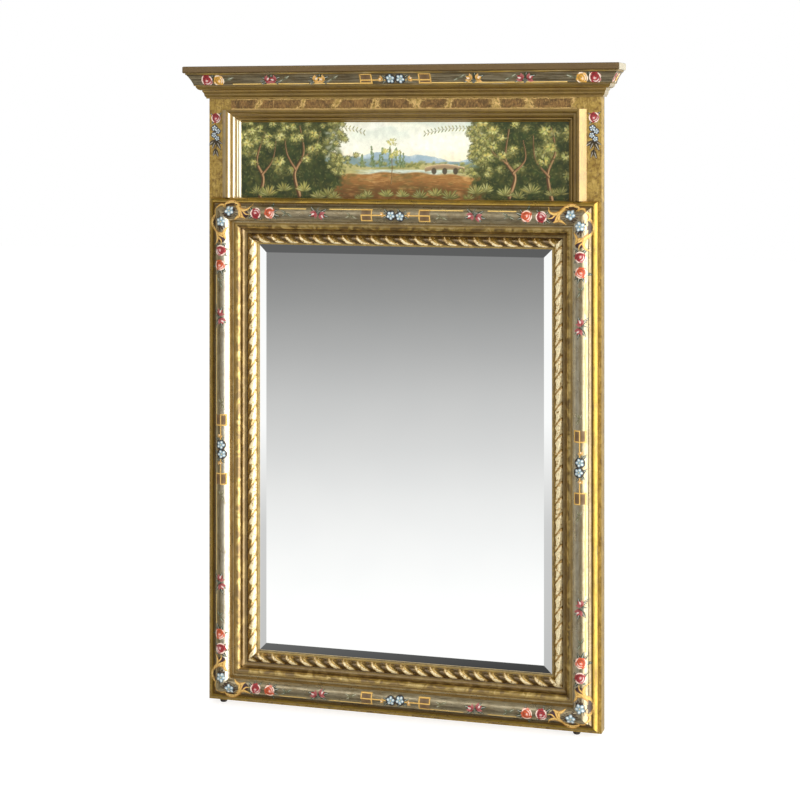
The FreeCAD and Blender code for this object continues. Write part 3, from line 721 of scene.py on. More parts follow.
def paint_rose(brush, a, b, radius, colour, lift, turn=0.0):
    """A round rose: scalloped petals, cream crescents, a pale cup and a dark heart."""
    dark, deeper = shade_of(colour, -0.42), shade_of(colour, -0.68)
    pale, cream = shade_of(colour, 0.42), shade_of(blend_tone(tuple(colour), tone(250, 214, 170), 0.6), 0.35)
    spin = math.degrees(turn)
    for k in range(7):
        angle = turn + k * math.tau / 7
        far = radius * (0.5 + 0.05 * math.sin(3 * k + turn))
        brush.disc(a + math.cos(angle) * far, b + math.sin(angle) * far, radius * 0.45, tuple(colour),
                   shade_of(colour, -0.3) if k % 3 else shade_of(colour, 0.25), lift)
    for start, end, reach in ((95, 205, 0.84), (225, 300, 0.86), (330, 395, 0.82)):
        brush.stroke(arc_path(a, b, radius * reach, spin + start, spin + end), radius * 0.2, cream,
                     shade_of(cream, 0.5), lift + 0.1 * MM, (0.35, 0.35), 12)
    brush.disc(a, b, radius * 0.64, tuple(colour), dark, lift + 0.14 * MM, 0.94, turn)
    brush.stroke(arc_path(a, b, radius * 0.52, spin + 20, spin + 185), radius * 0.2, dark, deeper,
                 lift + 0.18 * MM,
                 (0.3, 0.4), 12)
    brush.stroke(arc_path(a, b, radius * 0.56, spin + 205, spin + 330), radius * 0.2, pale,
                 shade_of(pale, 0.35),
                 lift + 0.2 * MM, (0.4, 0.4), 12)
    ca, sa = math.cos(turn + 0.6), math.sin(turn + 0.6)
    brush.disc(a - ca * radius * 0.1, b - sa * radius * 0.1, radius * 0.33, shade_of(colour, 0.6),
               tuple(colour),
               lift + 0.22 * MM, 0.8, turn)
    brush.disc(a + ca * radius * 0.2, b + sa * radius * 0.2, radius * 0.15, deeper, dark, lift + 0.26 * MM,
               0.8, turn)


def paint_blossom(brush, a, b, radius, colour, lift, turn=0.0, ground=None):
    """A five-petal blossom with pale, rounded petals and a small eye."""
    dark = shade_of(colour, -0.5)
    if ground is not None:
        brush.disc(a, b, radius * 1.16, ground, ground, lift - 0.03 * MM)
    for k in range(5):
        angle = turn + k * math.tau / 5
        ca, sa = math.cos(angle), math.sin(angle)
        brush.disc(a + ca * radius * 0.54, b + sa * radius * 0.54, radius * 0.42, shade_of(colour, 0.35),
                   dark,
                   lift + 0.02 * (k % 2) * MM, 0.86, angle)
        brush.dab(a + ca * radius * 0.42, b + sa * radius * 0.42, radius * 0.46, radius * 0.36, angle + 0.2,
                  shade_of(colour, 0.55), shade_of(colour, 0.85), lift + 0.08 * MM)
    brush.disc(a, b, radius * 0.2, tone(240, 214, 140), dark, lift + 0.12 * MM)


def paint_bud(brush, a, b, radius, colour, leaf, lift, angle):
    """A half-open flower: three petals from a green cup, with a pale touch."""
    for lean in (-0.75, 0.0, 0.7):
        tip = shade_of(colour, 0.15) if lean else tuple(colour)
        brush.dab(a - math.cos(angle) * radius * 0.5, b - math.sin(angle) * radius * 0.5, radius * 1.7,
                  radius * 0.95,
                  angle + lean, shade_of(colour, -0.5), tip, lift + 0.06 * MM)
    brush.dab(a, b, radius * 1.0, radius * 0.5, angle + 0.35, shade_of(colour, 0.3), shade_of(colour, 0.85),
              lift + 0.14 * MM)
    for lean in (-0.5, 0.6):
        brush.dab(a - math.cos(angle) * radius * 0.7, b - math.sin(angle) * radius * 0.7, radius * 1.4,
                  radius * 0.42,
                  angle + math.pi + lean, shade_of(leaf, -0.35), shade_of(leaf, 0.25), lift + 0.04 * MM)


def paint_leaves(brush, a, b, length, colour, lift, angles):
    """Pointed leaves from one place, each with a lighter rib."""
    for k, angle in enumerate(angles):
        size = length * (1 - 0.12 * (k % 3))
        brush.dab(a, b, size, size * 0.36, angle, shade_of(colour, -0.5), tuple(colour), lift)
        rib = [(a + math.cos(angle) * size * f, b + math.sin(angle) * size * f) for f in (0.3, 0.6, 0.92)]
        brush.stroke(rib, size * 0.07, shade_of(colour, 0.15), shade_of(colour, 0.5), lift + 0.05 * MM,
                     samples=6,
                     across=2)


def key_path(centre, way, low, high, join, half):
    """A key square as one line: in along low, across to high, back and out along join."""
    return [(centre + way * half, low), (centre - way * half, low), (centre - way * half, high),
            (centre + way * half, high), (centre + way * half, join), (centre - way * half, join)]


def paint_key(brush, path, width, colour, lift):
    """The key square's line, with a brown ground inside it."""
    dark, light = shade_of(colour, -0.3), gilt_of(colour, 0.6)
    left, right = min(p[0] for p in path), max(p[0] for p in path)
    low, high = min(p[1] for p in path), max(p[1] for p in path)
    ground, edge = tone(104, 80, 52), tone(126, 100, 68)
    rows = [[(left + (right - left) * i / 6, low + (high - low) * j / 6) for i in range(7)] for j in range(7)]
    brush.strip(rows, [[blend_tone(ground, edge, abs(i - 3) / 3) for i in range(7)] for _ in rows],
                lift - 0.04 * MM)
    for start, end in zip(path, path[1:]):
        size = math.hypot(end[0] - start[0], end[1] - start[1]) or 1.0
        da, db = (end[0] - start[0]) / size * width / 2, (end[1] - start[1]) / size * width / 2
        brush.stroke([(start[0] - da, start[1] - db), (end[0] + da, end[1] + db)], width, dark, light, lift,
                     (0, 0),
                     10, 2)


def paint_line(brush, points, width, colour, lift, samples=60):
    brush.stroke(points, width, shade_of(colour, -0.25), gilt_of(colour, 0.6), lift, (0, 0), samples, 2)


def arm_place(side):
    """Where (s, u) lies on a side of the lower frame: s from its left or top end, u inward."""
    ahead = -0.2
    return {
        "top": lambda s, u: (FRAME_LEFT + s, ahead, FRAME_HIGH - u),
        "bottom": lambda s, u: (FRAME_LEFT + s, ahead, FRAME_LOW + u),
        "left": lambda s, u: (FRAME_LEFT + u, ahead, FRAME_HIGH - s),
        "right": lambda s, u: (FRAME_RIGHT - u, ahead, FRAME_HIGH - s),
    }[side]


def paint_arm(brush, length, settings):
    """One side of the lower frame: roses near both ends, buds, key squares and a blue pair between."""
    lift, line = settings.lift, settings.line_gold
    middle = length / 2
    mm = MM
    outer, inner, join = 21 * mm, 43 * mm, 32 * mm
    half, width = settings.key * 0.86, settings.line
    for way in (-1, 1):
        end = 0.0 if way < 0 else length
        at = lambda s: end - way * s
        out = 0.0 if way > 0 else math.pi
        paint_leaves(brush, at(106 * mm), 31 * mm, 21 * mm, settings.leaf, lift, [0.7, 2.4, -0.8, 3.9, 1.5])
        paint_leaves(brush, at(140 * mm), 30 * mm, 23 * mm, settings.leaf, lift,
                     [math.pi - out + 0.3, math.pi - out - 0.35, 1.7, -1.4, math.pi - out + 0.75])
        paint_rose(brush, at(109 * mm), 31.5 * mm, settings.rose, tuple(settings.red), lift + 0.06 * mm, 0.5)
        paint_rose(brush, at(139 * mm), 30 * mm, settings.rose, tuple(settings.orange), lift + 0.06 * mm, 2.1)
        paint_leaves(brush, at(176 * mm), 30 * mm, 15 * mm,
                     blend_tone(tuple(settings.leaf), tone(150, 150, 110), 0.4),
                     lift, [0.5, 3.6, 2.5])
        bud = at((middle / mm - 165) * mm if length < 0.9 else 246 * mm)
        paint_leaves(brush, bud, 31 * mm, 25 * mm, settings.leaf, lift, [0.22, 2.95, 0.7, 3.8, -0.5])
        for k, shift in enumerate((-7, 7)):
            paint_bud(brush, bud + shift * mm, (30 + 3 * k) * mm, 7.6 * mm, tuple(settings.red),
                      settings.leaf,
                      lift + 0.1 * mm, 0.5 if k else 2.4)
        pale = gilt_of(line, 0.5)
        key = middle + way * 61 * mm
        paint_line(brush, [(at(160 * mm), outer), (bud + way * 26 * mm, outer)],
                   width, pale, lift)
        paint_line(brush, [(bud - way * 24 * mm, outer), (key + way * half, outer)], width, pale, lift)
        paint_leaves(brush, key + way * 34 * mm, 33 * mm, 15 * mm,
                     blend_tone(tuple(settings.leaf), tone(170, 160, 110), 0.5),
                     lift, [0.45, 2.7, 3.7])
        paint_key(brush, key_path(key, way, outer, inner, join, half), width * 1.15, line, lift + 0.1 * mm)
        paint_line(brush, [(key - way * half, join), (middle + way * 16 * mm, join)], width * 1.1, line,
                   lift + 0.06 * mm, 16)
        paint_leaves(brush, middle + way * 14 * mm, 30 * mm, 17 * mm, settings.leaf, lift + 0.04 * mm,
                     [0.6, 2.5, -0.7, 3.9])
        paint_blossom(brush, middle + way * 9.6 * mm, (33 + way) * mm, settings.blossom * 1.12,
                      tuple(settings.blue),
                      lift + 0.2 * mm, way, tone(58, 48, 40))
        paint_bud(brush, middle + way * 27 * mm, 30 * mm, 4.6 * mm, tuple(settings.yellow), settings.leaf,
                  lift + 0.1 * mm, 0.3 if way > 0 else 2.8)


def paint_corner(brush, settings):
    """Gold leaf scrolls round two blue blossoms, mirrored about the mitre."""
    gold, lift, mm = tuple(settings.line_gold), settings.lift + 0.05 * MM, MM
    deep = blend_tone(gold, tone(190, 120, 50), 0.6)
    dark, light = shade_of(deep, -0.3), gilt_of(gold, 0.55)
    ground = tone(58, 40, 26)
    sprigs = [
        ([(40, 20), (36, 14), (42, 9.5), (53, 8.5), (63, 13), (71, 21), (77, 31), (84, 43)], 8.6,
         (0.6, 0.35)),
        ([(64, 14), (73, 22), (83, 25), (93, 21), (98, 12)], 6.8, (0.35, 0.7)),
        ([(86, 42), (74, 38), (66, 41), (60, 46)], 6.0, (0.3, 0.6)),
        ([(20, 23), (25, 15.5), (33, 15), (36, 20)], 5.0, (0.4, 0.6)),
        ([(72, 27), (74, 35), (70, 41)], 6.2, (0.4, 0.5)),
        ([(80, 26), (88, 33), (97, 33)], 3.4, (0.3, 0.8)),
    ]
    for swap in (False, True):
        turn = (lambda a, b: (b, a)) if swap else (lambda a, b: (a, b))
        a, b = turn(52 * mm, 27 * mm)
        brush.disc(a, b, 18 * mm, ground, ground, lift - 0.08 * mm, 0.92)
        brush.disc(*turn(84 * mm, 33 * mm), 9 * mm, tone(66, 40, 56), ground, lift - 0.07 * mm, 0.9)
        for path, width, taper in sprigs:
            line = [turn(p * mm, q * mm) for p, q in path]
            brush.stroke(line, width * mm, dark, light, lift + 0.05 * mm, taper, len(path) * 7)
    for a, b, spin in ((50.5, 26.5, 0.4), (32, 49, 1.1)):
        paint_blossom(brush, a * mm, b * mm, settings.blossom * 1.3, tuple(settings.blue), lift + 0.14 * mm,
                      spin)


def corner_place(side, level):
    """Where (a, b) lies from a corner of the lower frame: a sideways, b up or down, both inward."""
    ahead = -0.2
    x0, sx = (FRAME_LEFT, 1) if side == "left" else (FRAME_RIGHT, -1)
    z0, sz = (FRAME_HIGH, -1) if level == "top" else (FRAME_LOW, 1)
    return lambda a, b: (x0 + sx * a, ahead, z0 + sz * b)


def paint_crown_front(brush, settings):
    """The crown's field: roses at its ends, buds and flowers, key squares and a blue pair."""
    lift, mm = settings.lift, MM
    low, high = CROWN_LOW + 3.2 * mm, CROWN_LOW + 21.4 * mm
    mid = (low + high) / 2 - mm
    line = settings.line_gold
    yellow, red = tuple(settings.yellow), tuple(settings.red)
    grey_leaf = blend_tone(tuple(settings.leaf), tone(170, 168, 130), 0.45)
    half, width = settings.key * 0.94, settings.line
    for way in (-1, 1):
        at = lambda x: way * x * mm
        paint_leaves(brush, at(396), mid, 24 * mm, settings.leaf, lift, [0.4, 2.8, -0.5, 3.6, 1.4])
        paint_leaves(brush, at(366), mid, 19 * mm, grey_leaf, lift,
                     [0.3, 2.9, 3.5] if way < 0 else [0.2, 2.8, -0.4])
        paint_rose(brush, at(408), mid, settings.rose * 1.08, red, lift + 0.06 * mm, 0.4)
        paint_rose(brush, at(382), mid - 0.8 * mm, settings.rose * 1.02, yellow, lift + 0.06 * mm, 1.7)
        for x, colour in ((268, red), (163, yellow)):
            paint_leaves(brush, at(x), mid, 24 * mm, settings.leaf, lift, [0.25, 2.9, -0.35, 3.5, 1.2])
            paint_leaves(brush, at(x - 30), mid + mm, 15 * mm, grey_leaf, lift, [0.5, 3.5])
            for k in (-1, 1):
                paint_bud(brush, at(x + 8 * k), mid - 0.6 * mm, 7.8 * mm, colour, settings.leaf,
                          lift + 0.1 * mm,
                          0.4 if k > 0 else 2.5)
        paint_line(brush, [(at(56), low), (at(352), low)], width * 0.9, gilt_of(line, 0.4), lift, 60)
        paint_key(brush, key_path(at(62), way, low, high, low + 6.2 * mm, half), width * 1.25, line,
                  lift + 0.1 * mm)
        paint_line(brush, [(at(62 + half / mm), high), (at(62 + half / mm), low)], width * 1.25, line,
                   lift + 0.1 * mm, 12)
        paint_line(brush, [(at(56), low + 6.2 * mm), (at(18), low + 6.2 * mm)], width, line, lift + 0.06 * mm,
                   16)
        paint_leaves(brush, at(16), mid, 16 * mm, settings.leaf, lift + 0.03 * mm, [0.6, 2.6, -0.7, 3.8])
        paint_blossom(brush, at(10.5), mid + 0.4 * mm, settings.blossom * 1.15, tuple(settings.blue),
                      lift + 0.2 * mm,
                      way,
                      tone(58, 52, 48))
        paint_bud(brush, at(30), mid, 5.2 * mm, yellow, settings.leaf, lift + 0.1 * mm,
                  0.3 if way > 0 else 2.8)


def paint_crown_return(brush, settings):
    """A short end of the crown: one red rose at the mitre, one yellow behind it."""
    lift, mm = settings.lift, MM
    mid = CROWN_LOW + 11.4 * mm
    front = FACE - 31 * mm
    paint_leaves(brush, front + 30 * mm, mid, 17 * mm, settings.leaf, lift, [0.3, 2.8, -0.5])
    paint_rose(brush, front + 15 * mm, mid, settings.rose * 0.84, tuple(settings.red), lift + 0.06 * mm, 0.9)
    paint_rose(brush, front + 41 * mm, mid - 0.6 * mm, settings.rose * 0.8, tuple(settings.yellow),
               lift + 0.06 * mm,
               2.2)


def paint_jamb(brush, x, settings):
    """The flat beside the picture: a rose, a blue spray and leaves below it."""
    lift, mm = settings.lift, MM
    brown = blend_tone(tuple(settings.leaf), tone(96, 74, 44), 0.6)
    paint_leaves(brush, x, 1.2215, 18 * mm, settings.leaf, lift, [0.7, 2.5, -1.0, 4.1])
    paint_rose(brush, x, 1.2215, settings.rose * 0.92, tuple(settings.red), lift + 0.06 * mm, 0.8)
    brush.stroke([(x, 1.21), (x - 2 * mm, 1.19), (x + mm, 1.165), (x - 2 * mm, 1.143)], 1.6 * mm,
                 shade_of(brown, -0.5), shade_of(brown, -0.1), lift)
    blue = blend_tone(tuple(settings.blue), tone(62, 92, 132), 0.35)
    for dx, z, size in ((-3, 1.2, 6.4), (4.4, 1.194, 5.6), (-4.4, 1.186, 5.8), (2.6, 1.179, 5.4)):
        paint_blossom(brush, x + dx * mm, z, size * mm, blue, lift + 0.06 * mm, z * 40, tone(70, 62, 54))
    paint_leaves(brush, x, 1.176, 24 * mm, brown, lift, [-1.1, -2.0, -0.55, -2.55])
    paint_leaves(brush, x - mm, 1.158, 20 * mm, brown, lift + 0.03 * mm, [-1.25, -1.9])


# ---------------------------------------------------------------- the picture


def soft_noise(rng, rows, columns, cells, octaves=4, persistence=0.55):
    """Smooth random hills between 0 and 1, from coarse to fine."""
    total, weight, size = np.zeros((rows, columns)), 0.0, 1.0
    for _ in range(octaves):
        grid = rng.random((cells[0] + 2, cells[1] + 2))
        r = np.linspace(0, cells[0], rows, endpoint=False)
        c = np.linspace(0, cells[1], columns, endpoint=False)
        ri, ci = r.astype(int), c.astype(int)
        fr = (r - ri)[:, None]
        fc = (c - ci)[None, :]
        fr, fc = fr * fr * (3 - 2 * fr), fc * fc * (3 - 2 * fc)
        patch = (grid[np.ix_(ri, ci)] * (1 - fr) * (1 - fc) + grid[np.ix_(ri + 1, ci)] * fr * (1 - fc)
                 + grid[np.ix_(ri, ci + 1)] * (1 - fr) * fc + grid[np.ix_(ri + 1, ci + 1)] * fr * fc)
        total += patch * size
        weight += size
        size *= persistence
        cells = (cells[0] * 2, cells[1] * 2)
    return total / weight


class Picture:
    """A board being painted, dab by dab. Millimetres from its lower left corner."""

    def __init__(self, width, height, step):
        self.step = step
        self.columns, self.rows = int(round(width / step)) + 1, int(round(height / step)) + 1
        self.width, self.height = width, height
        self.x = np.linspace(0, width, self.columns)[None, :]
        self.y = np.linspace(0, height, self.rows)[:, None]
        self.paint = np.zeros((self.rows, self.columns, 3))

    def wash(self, colour, mask):
        mask = np.broadcast_to(mask, (self.rows, self.columns))[..., None]
        self.paint += (np.asarray(colour) - self.paint) * np.clip(mask, 0, 1)

    def dab(self, x, y, length, width, angle, colour, strength=0.9, soft=0.35):
        """One touch of a brush: an ellipse with a soft edge."""
        reach = max(length, width) / 2 + self.step
        i0, i1 = int((y - reach) / self.step), int((y + reach) / self.step) + 2
        j0, j1 = int((x - reach) / self.step), int((x + reach) / self.step) + 2
        i0, j0, i1, j1 = max(i0, 0), max(j0, 0), min(i1, self.rows), min(j1, self.columns)
        if i0 >= i1 or j0 >= j1:
            return
        dx, dy = self.x[:, j0:j1] - x, self.y[i0:i1] - y
        ca, sa = math.cos(angle), math.sin(angle)
        u, v = (dx * ca + dy * sa) / (length / 2), (-dx * sa + dy * ca) / (width / 2)
        r = np.sqrt(u * u + v * v)
        mask = np.clip((1 - r) / soft, 0, 1) * strength
        area = self.paint[i0:i1, j0:j1]
        area += (np.asarray(colour) - area) * mask[..., None]

    def limb(self, points, start, end, dark, light):
        """A trunk or branch that narrows from start to end, lit on its right side."""
        line = smooth_path(points, max(12, len(points) * 14))
        for index, (x, y) in enumerate(line):
            t = index / (len(line) - 1)
            size = start + (end - start) * t
            self.dab(x, y, size * 1.5, size, math.pi / 2, dark, 0.95, 0.3)
        for index, (x, y) in enumerate(line):
            t = index / (len(line) - 1)
            size = start + (end - start) * t
            self.dab(x + size * 0.18, y, size * 1.4, size * 0.45, math.pi / 2, light, 0.6, 0.5)

    def spray(self, rng, x, y, size, dark, light, count=26, flat=0.8):
        """A tuft of leaves that open from its middle, the light ones last and towards the right."""
        for k in range(count):
            t = k / count
            angle = rng.random() * math.tau
            far = size * (0.25 + 0.75 * rng.random()) * (1 - 0.35 * t)
            cx = x + math.cos(angle) * far * 0.62 + size * 0.1 * t
            cy = y + math.sin(angle) * far * 0.62 * flat + size * 0.12 * t
            colour = np.asarray(dark) + (np.asarray(light) - np.asarray(dark)) * (t * 0.8
                                                                              + 0.2 * rng.random())
            self.dab(cx, cy, size * 0.46, size * 0.17, angle + rng.normal() * 0.3, colour, 0.85, 0.5)


def screen(red, green, blue):
    return np.array([red, green, blue]) / 255


def paint_sky_and_land(board, rng):
    """Pale sky, far hills, a lake and an ochre shore."""
    shape = (board.rows, board.columns)
    w, h = board.width, board.height
    x, y = board.x, board.y
    cloud = soft_noise(rng, *shape, (3, 7))
    board.wash(screen(255, 252, 232), 1.0)
    board.wash(screen(226, 232, 214),
               np.clip((y - h * 0.6) / (h * 0.3), 0, 1) * np.clip(cloud * 3.2 - 1.2, 0, 1) * 0.7)
    board.wash(screen(190, 214, 206),
               np.clip((y - h * 0.74) / (h * 0.3), 0, 1) * np.clip(cloud * 4 - 2.2, 0, 1) * 0.5)
    board.wash(screen(255, 253, 240), np.clip(soft_noise(rng, *shape, (5, 12)) * 5 - 2.6, 0, 1) * 0.8)
    board.wash(screen(252, 234, 190), np.exp(-((y - h * 0.52) / (h * 0.09)) ** 2) * 0.5)
    for height, wave, colour, light in ((0.56, 0.9, (150, 176, 190), (214, 224, 222)),
                                        (0.5, 2.3, (126, 150, 148), (178, 186, 158))):
        ridge = h * (height + 0.045 * np.sin(x / w * 15 + wave) + 0.022 * np.sin(x / w * 41 + wave * 3))
        ridge = ridge + h * 0.03 * (soft_noise(rng, 1, board.columns, (1, 40)) - 0.5)
        inside = np.clip((ridge - y) / 2.0, 0, 1)
        board.wash(screen(*colour), inside * 0.9)
        facets = soft_noise(rng, *shape, (9, 60))
        lit = np.clip((y - ridge + h * 0.07) / (h * 0.06), 0, 1) * np.clip(facets * 4 - 1.8, 0, 1)
        board.wash(screen(*light), inside * lit)
    near = h * (0.45 + 0.03 * np.sin(x / w * 21 + 2.0))
    field = np.clip((near - y) / 3.0, 0, 1)
    board.wash(screen(196, 184, 118), field * 0.94)
    bands = soft_noise(rng, *shape, (22, 16))
    board.wash(screen(146, 146, 84), field * np.clip(bands * 3.2 - 1.3, 0, 1) * 0.85)
    for _ in range(80):
        cx, cy = w * rng.uniform(0.2, 0.8), h * rng.uniform(0.39, 0.46)
        size = rng.uniform(5, 9)
        for k in range(7):
            shade = k / 6
            board.dab(cx + rng.normal() * size * 0.3, cy + size * 0.12 * k, size, size * 0.55,
                      rng.normal() * 0.2,
                      screen(96 + 76 * shade, 104 + 62 * shade, 56 + 34 * shade), 0.5, 0.7)
    water = np.clip((h * 0.385 - y) / 1.5, 0, 1) * np.clip((y - h * 0.29) / 1.5, 0, 1)
    west = np.clip((x / w - 0.34 - 0.02 * np.sin(y / 4)) * 14, 0, 1)
    reach = west * np.clip((0.7 - x / w + 0.02 * np.sin(y / 3)) * 14, 0, 1)
    board.wash(screen(214, 224, 206), water * 0.95 * reach)
    for _ in range(160):
        board.dab(w * rng.uniform(0.36, 0.68), h * rng.uniform(0.295, 0.38), rng.uniform(8, 26), 1.3, 0.0,
                  screen(*rng.choice([[244, 244, 226], [160, 180, 172], [128, 142, 112]])), 0.55, 0.8)
    bank = h * (0.3 - 0.05 * np.sin(x / w * 7 + 1.2) + 0.012 * np.sin(x / w * 60))
    shore = np.clip((bank - y) / 3.0, 0, 1)
    board.wash(screen(164, 116, 60), shore)
    board.wash(screen(104, 70, 32), shore * np.clip((bank * 0.75 - y) / (h * 0.14), 0, 1) * 0.85)
    board.wash(screen(210, 164, 100), shore * np.clip(soft_noise(rng, *shape, (16, 26)) * 3.4 - 1.9, 0, 1))
    board.wash(screen(96, 92, 46), shore * np.clip(soft_noise(rng, *shape, (10, 20)) * 4 - 2.4, 0, 1) * 0.8)
    for _ in range(520):
        cx = w * rng.uniform(0.24, 0.8)
        level = h * (0.3 - 0.05 * math.sin(cx / w * 7 + 1.2))
        board.dab(cx, level * rng.uniform(0.05, 1.0), rng.uniform(6, 24), rng.uniform(1.2, 2.8),
                  rng.normal() * 0.1,
                  screen(*rng.choice([[170, 116, 56], [116, 78, 36], [206, 160, 92], [112, 104, 52],
                                      [138, 86, 40]])),
                  0.5, 0.7)


def paint_bridge(board, rng):
    """A low stone bridge over the end of the lake, and poplars on the far shore."""
    w, h = board.width, board.height
    stone, shadow, lit = screen(186, 156, 116), screen(74, 62, 46), screen(240, 220, 176)
    for k in range(46):
        t = k / 45
        x = w * (0.575 + 0.115 * t)
        top = h * (0.405 + 0.04 * math.sin(math.pi * t))
        board.dab(x, top, 5.5, 4.2, 0.0, stone, 0.95, 0.4)
        board.dab(x, top - 4.5, 5.5, 8.0, 0.0, stone * 0.84, 0.9, 0.4)
        board.dab(x, top + 1.6, 5.0, 1.4, 0.0, lit, 0.85, 0.6)
    for centre in (0.6, 0.6325, 0.665):
        board.dab(w * centre, h * 0.365, 12, 15, 0.0, shadow, 0.9, 0.25)
    for k in range(9):
        x = w * (0.385 + 0.0155 * k + 0.004 * rng.normal())
        tall = h * rng.uniform(0.16, 0.3)
        for j in range(34):
            t = rng.random()
            board.dab(x + rng.normal() * 2.3 * (1.15 - t), h * 0.41 + tall * t, 5.4, 3.0,
                      1.4 + rng.normal() * 0.25,
                      screen(84, 102, 54) + rng.normal() * 0.02 + 0.2 * (j / 34), 0.8, 0.5)


def leaf_palette(rng, shade):
    """A leaf colour from deep olive to pale yellow-green."""
    deep = screen(*rng.choice([[58, 60, 24], [66, 66, 28], [46, 54, 26]]))
    pale = screen(*rng.choice([[222, 216, 148], [200, 196, 112], [212, 190, 100], [168, 172, 90]]))
    return deep + (pale - deep) * shade


def paint_grove(board, rng, side):
    """Trees at one end of the board: olive depths, tan trunks and pale clusters of leaves."""
    w, h = board.width, board.height
    left = side < 0
    width = 0.3 if left else 0.27
    shape = (board.rows, board.columns)
    ragged = soft_noise(rng, *shape, (5, 18)) * 0.16 - 0.08
    place = board.x / w if left else 1 - board.x / w
    mask = np.clip(((width + ragged) - place) * 34, 0, 1)
    board.wash(screen(46, 56, 24), mask)
    centre = lambda t: w * (t if left else 1 - t)
    for _ in range(520):
        t = rng.random() * (width + 0.01)
        board.dab(centre(t), h * rng.random(), rng.uniform(12, 26), rng.uniform(8, 14), rng.random() * 3.1,
                  screen(*rng.choice([[56, 66, 26], [74, 84, 34], [36, 44, 18], [88, 86, 36], [60, 78, 36]])),
                  0.5,
                  0.9)
    for _ in range(900):
        t = rng.random() * (width + 0.02)
        board.dab(centre(t), h * rng.random(), rng.uniform(5, 9), rng.uniform(2.4, 3.6), rng.random() * 3.1,
                  leaf_palette(rng, rng.random() * 0.4), 0.7, 0.5)
    trunks = ([[(0.06, 0.02), (0.07, 0.26), (0.05, 0.5), (0.075, 0.86)],
               [(0.066, 0.3), (0.1, 0.5), (0.112, 0.8)],
               [(0.185, 0.04), (0.17, 0.32), (0.198, 0.6), (0.186, 0.95)],
               [(0.172, 0.38), (0.146, 0.58), (0.138, 0.82)],
               [(0.19, 0.5), (0.235, 0.68), (0.25, 0.88)]] if left else
              [[(0.05, 0.0), (0.062, 0.34), (0.04, 0.62), (0.052, 0.92)],
               [(0.058, 0.3), (0.098, 0.52), (0.104, 0.82)],
               [(0.175, 0.04), (0.158, 0.3), (0.186, 0.52), (0.176, 0.9)],
               [(0.164, 0.34), (0.128, 0.52), (0.134, 0.76)],
               [(0.18, 0.46), (0.225, 0.62), (0.24, 0.86)]])
    for _ in range(15):
        scatter_cluster(board, rng, centre(rng.random() * width), h * rng.uniform(0.3, 1.0),
                        rng.uniform(10, 17), 0.6)
    for trunk in trunks:
        points = [(centre(t), h * y) for t, y in trunk]
        big = 9.5 if len(trunk) == 4 else 5.4
        board.limb(points, big, big * 0.38, screen(86, 58, 32), screen(202, 160, 112))
    for _ in range(24 if left else 22):
        scatter_cluster(board, rng, centre(rng.random() * (width + 0.015)), h * rng.uniform(0.42, 1.0),
                        rng.uniform(11, 19), 1.0)
    for _ in range(26):
        scatter_cluster(board, rng, centre(width + rng.normal() * 0.02), h * rng.uniform(0.32, 1.0),
                        rng.uniform(6, 10), 0.85)
    for k in range(7):
        rosette(board, rng, centre(0.02 + 0.042 * k + 0.012 * rng.normal()), h * rng.uniform(0.0, 0.1),
                rng.uniform(17, 27))


def scatter_cluster(board, rng, x, y, size, bright):
    """A ball of leaves, dark below and pale towards its middle."""
    size *= 1.22
    board.dab(x, y, size * 2.1, size * 1.7, 0.0, leaf_palette(rng, 0.34 * bright), 0.55, 0.95)
    for k in range(54):
        t = k / 54
        angle = rng.random() * math.tau
        far = size * (1 - 0.75 * t) * (0.55 + 0.45 * rng.random())
        cx, cy = x + math.cos(angle) * far, y + math.sin(angle) * far * 0.8 + size * 0.12 * t
        board.dab(cx, cy, size * 0.38, size * 0.19, angle + rng.normal() * 0.35,
                  leaf_palette(rng, min(1.0, 0.12 + t * bright)),
                  0.85, 0.45)


def rosette(board, rng, x, y, size):
    """A plant with broad leaves that open upward, each with a pale rib."""
    shade = rng.uniform(0.5, 0.9)
    for j in range(9):
        angle = math.pi * (0.08 + 0.84 * j / 8) + rng.normal() * 0.07
        far = size * rng.uniform(0.8, 1.1)
        cx, cy = x + math.cos(angle) * far * 0.5, y + math.sin(angle) * far * 0.5
        board.dab(cx, cy, far, far * 0.25, angle, leaf_palette(rng, shade * 0.5), 0.9, 0.35)
        board.dab(cx, cy + 0.5, far * 0.86, far * 0.13, angle, leaf_palette(rng, shade), 0.9, 0.5)
        board.dab(cx, cy + 0.7, far * 0.7, 1.0, angle, leaf_palette(rng, 1.0), 0.6, 0.6)


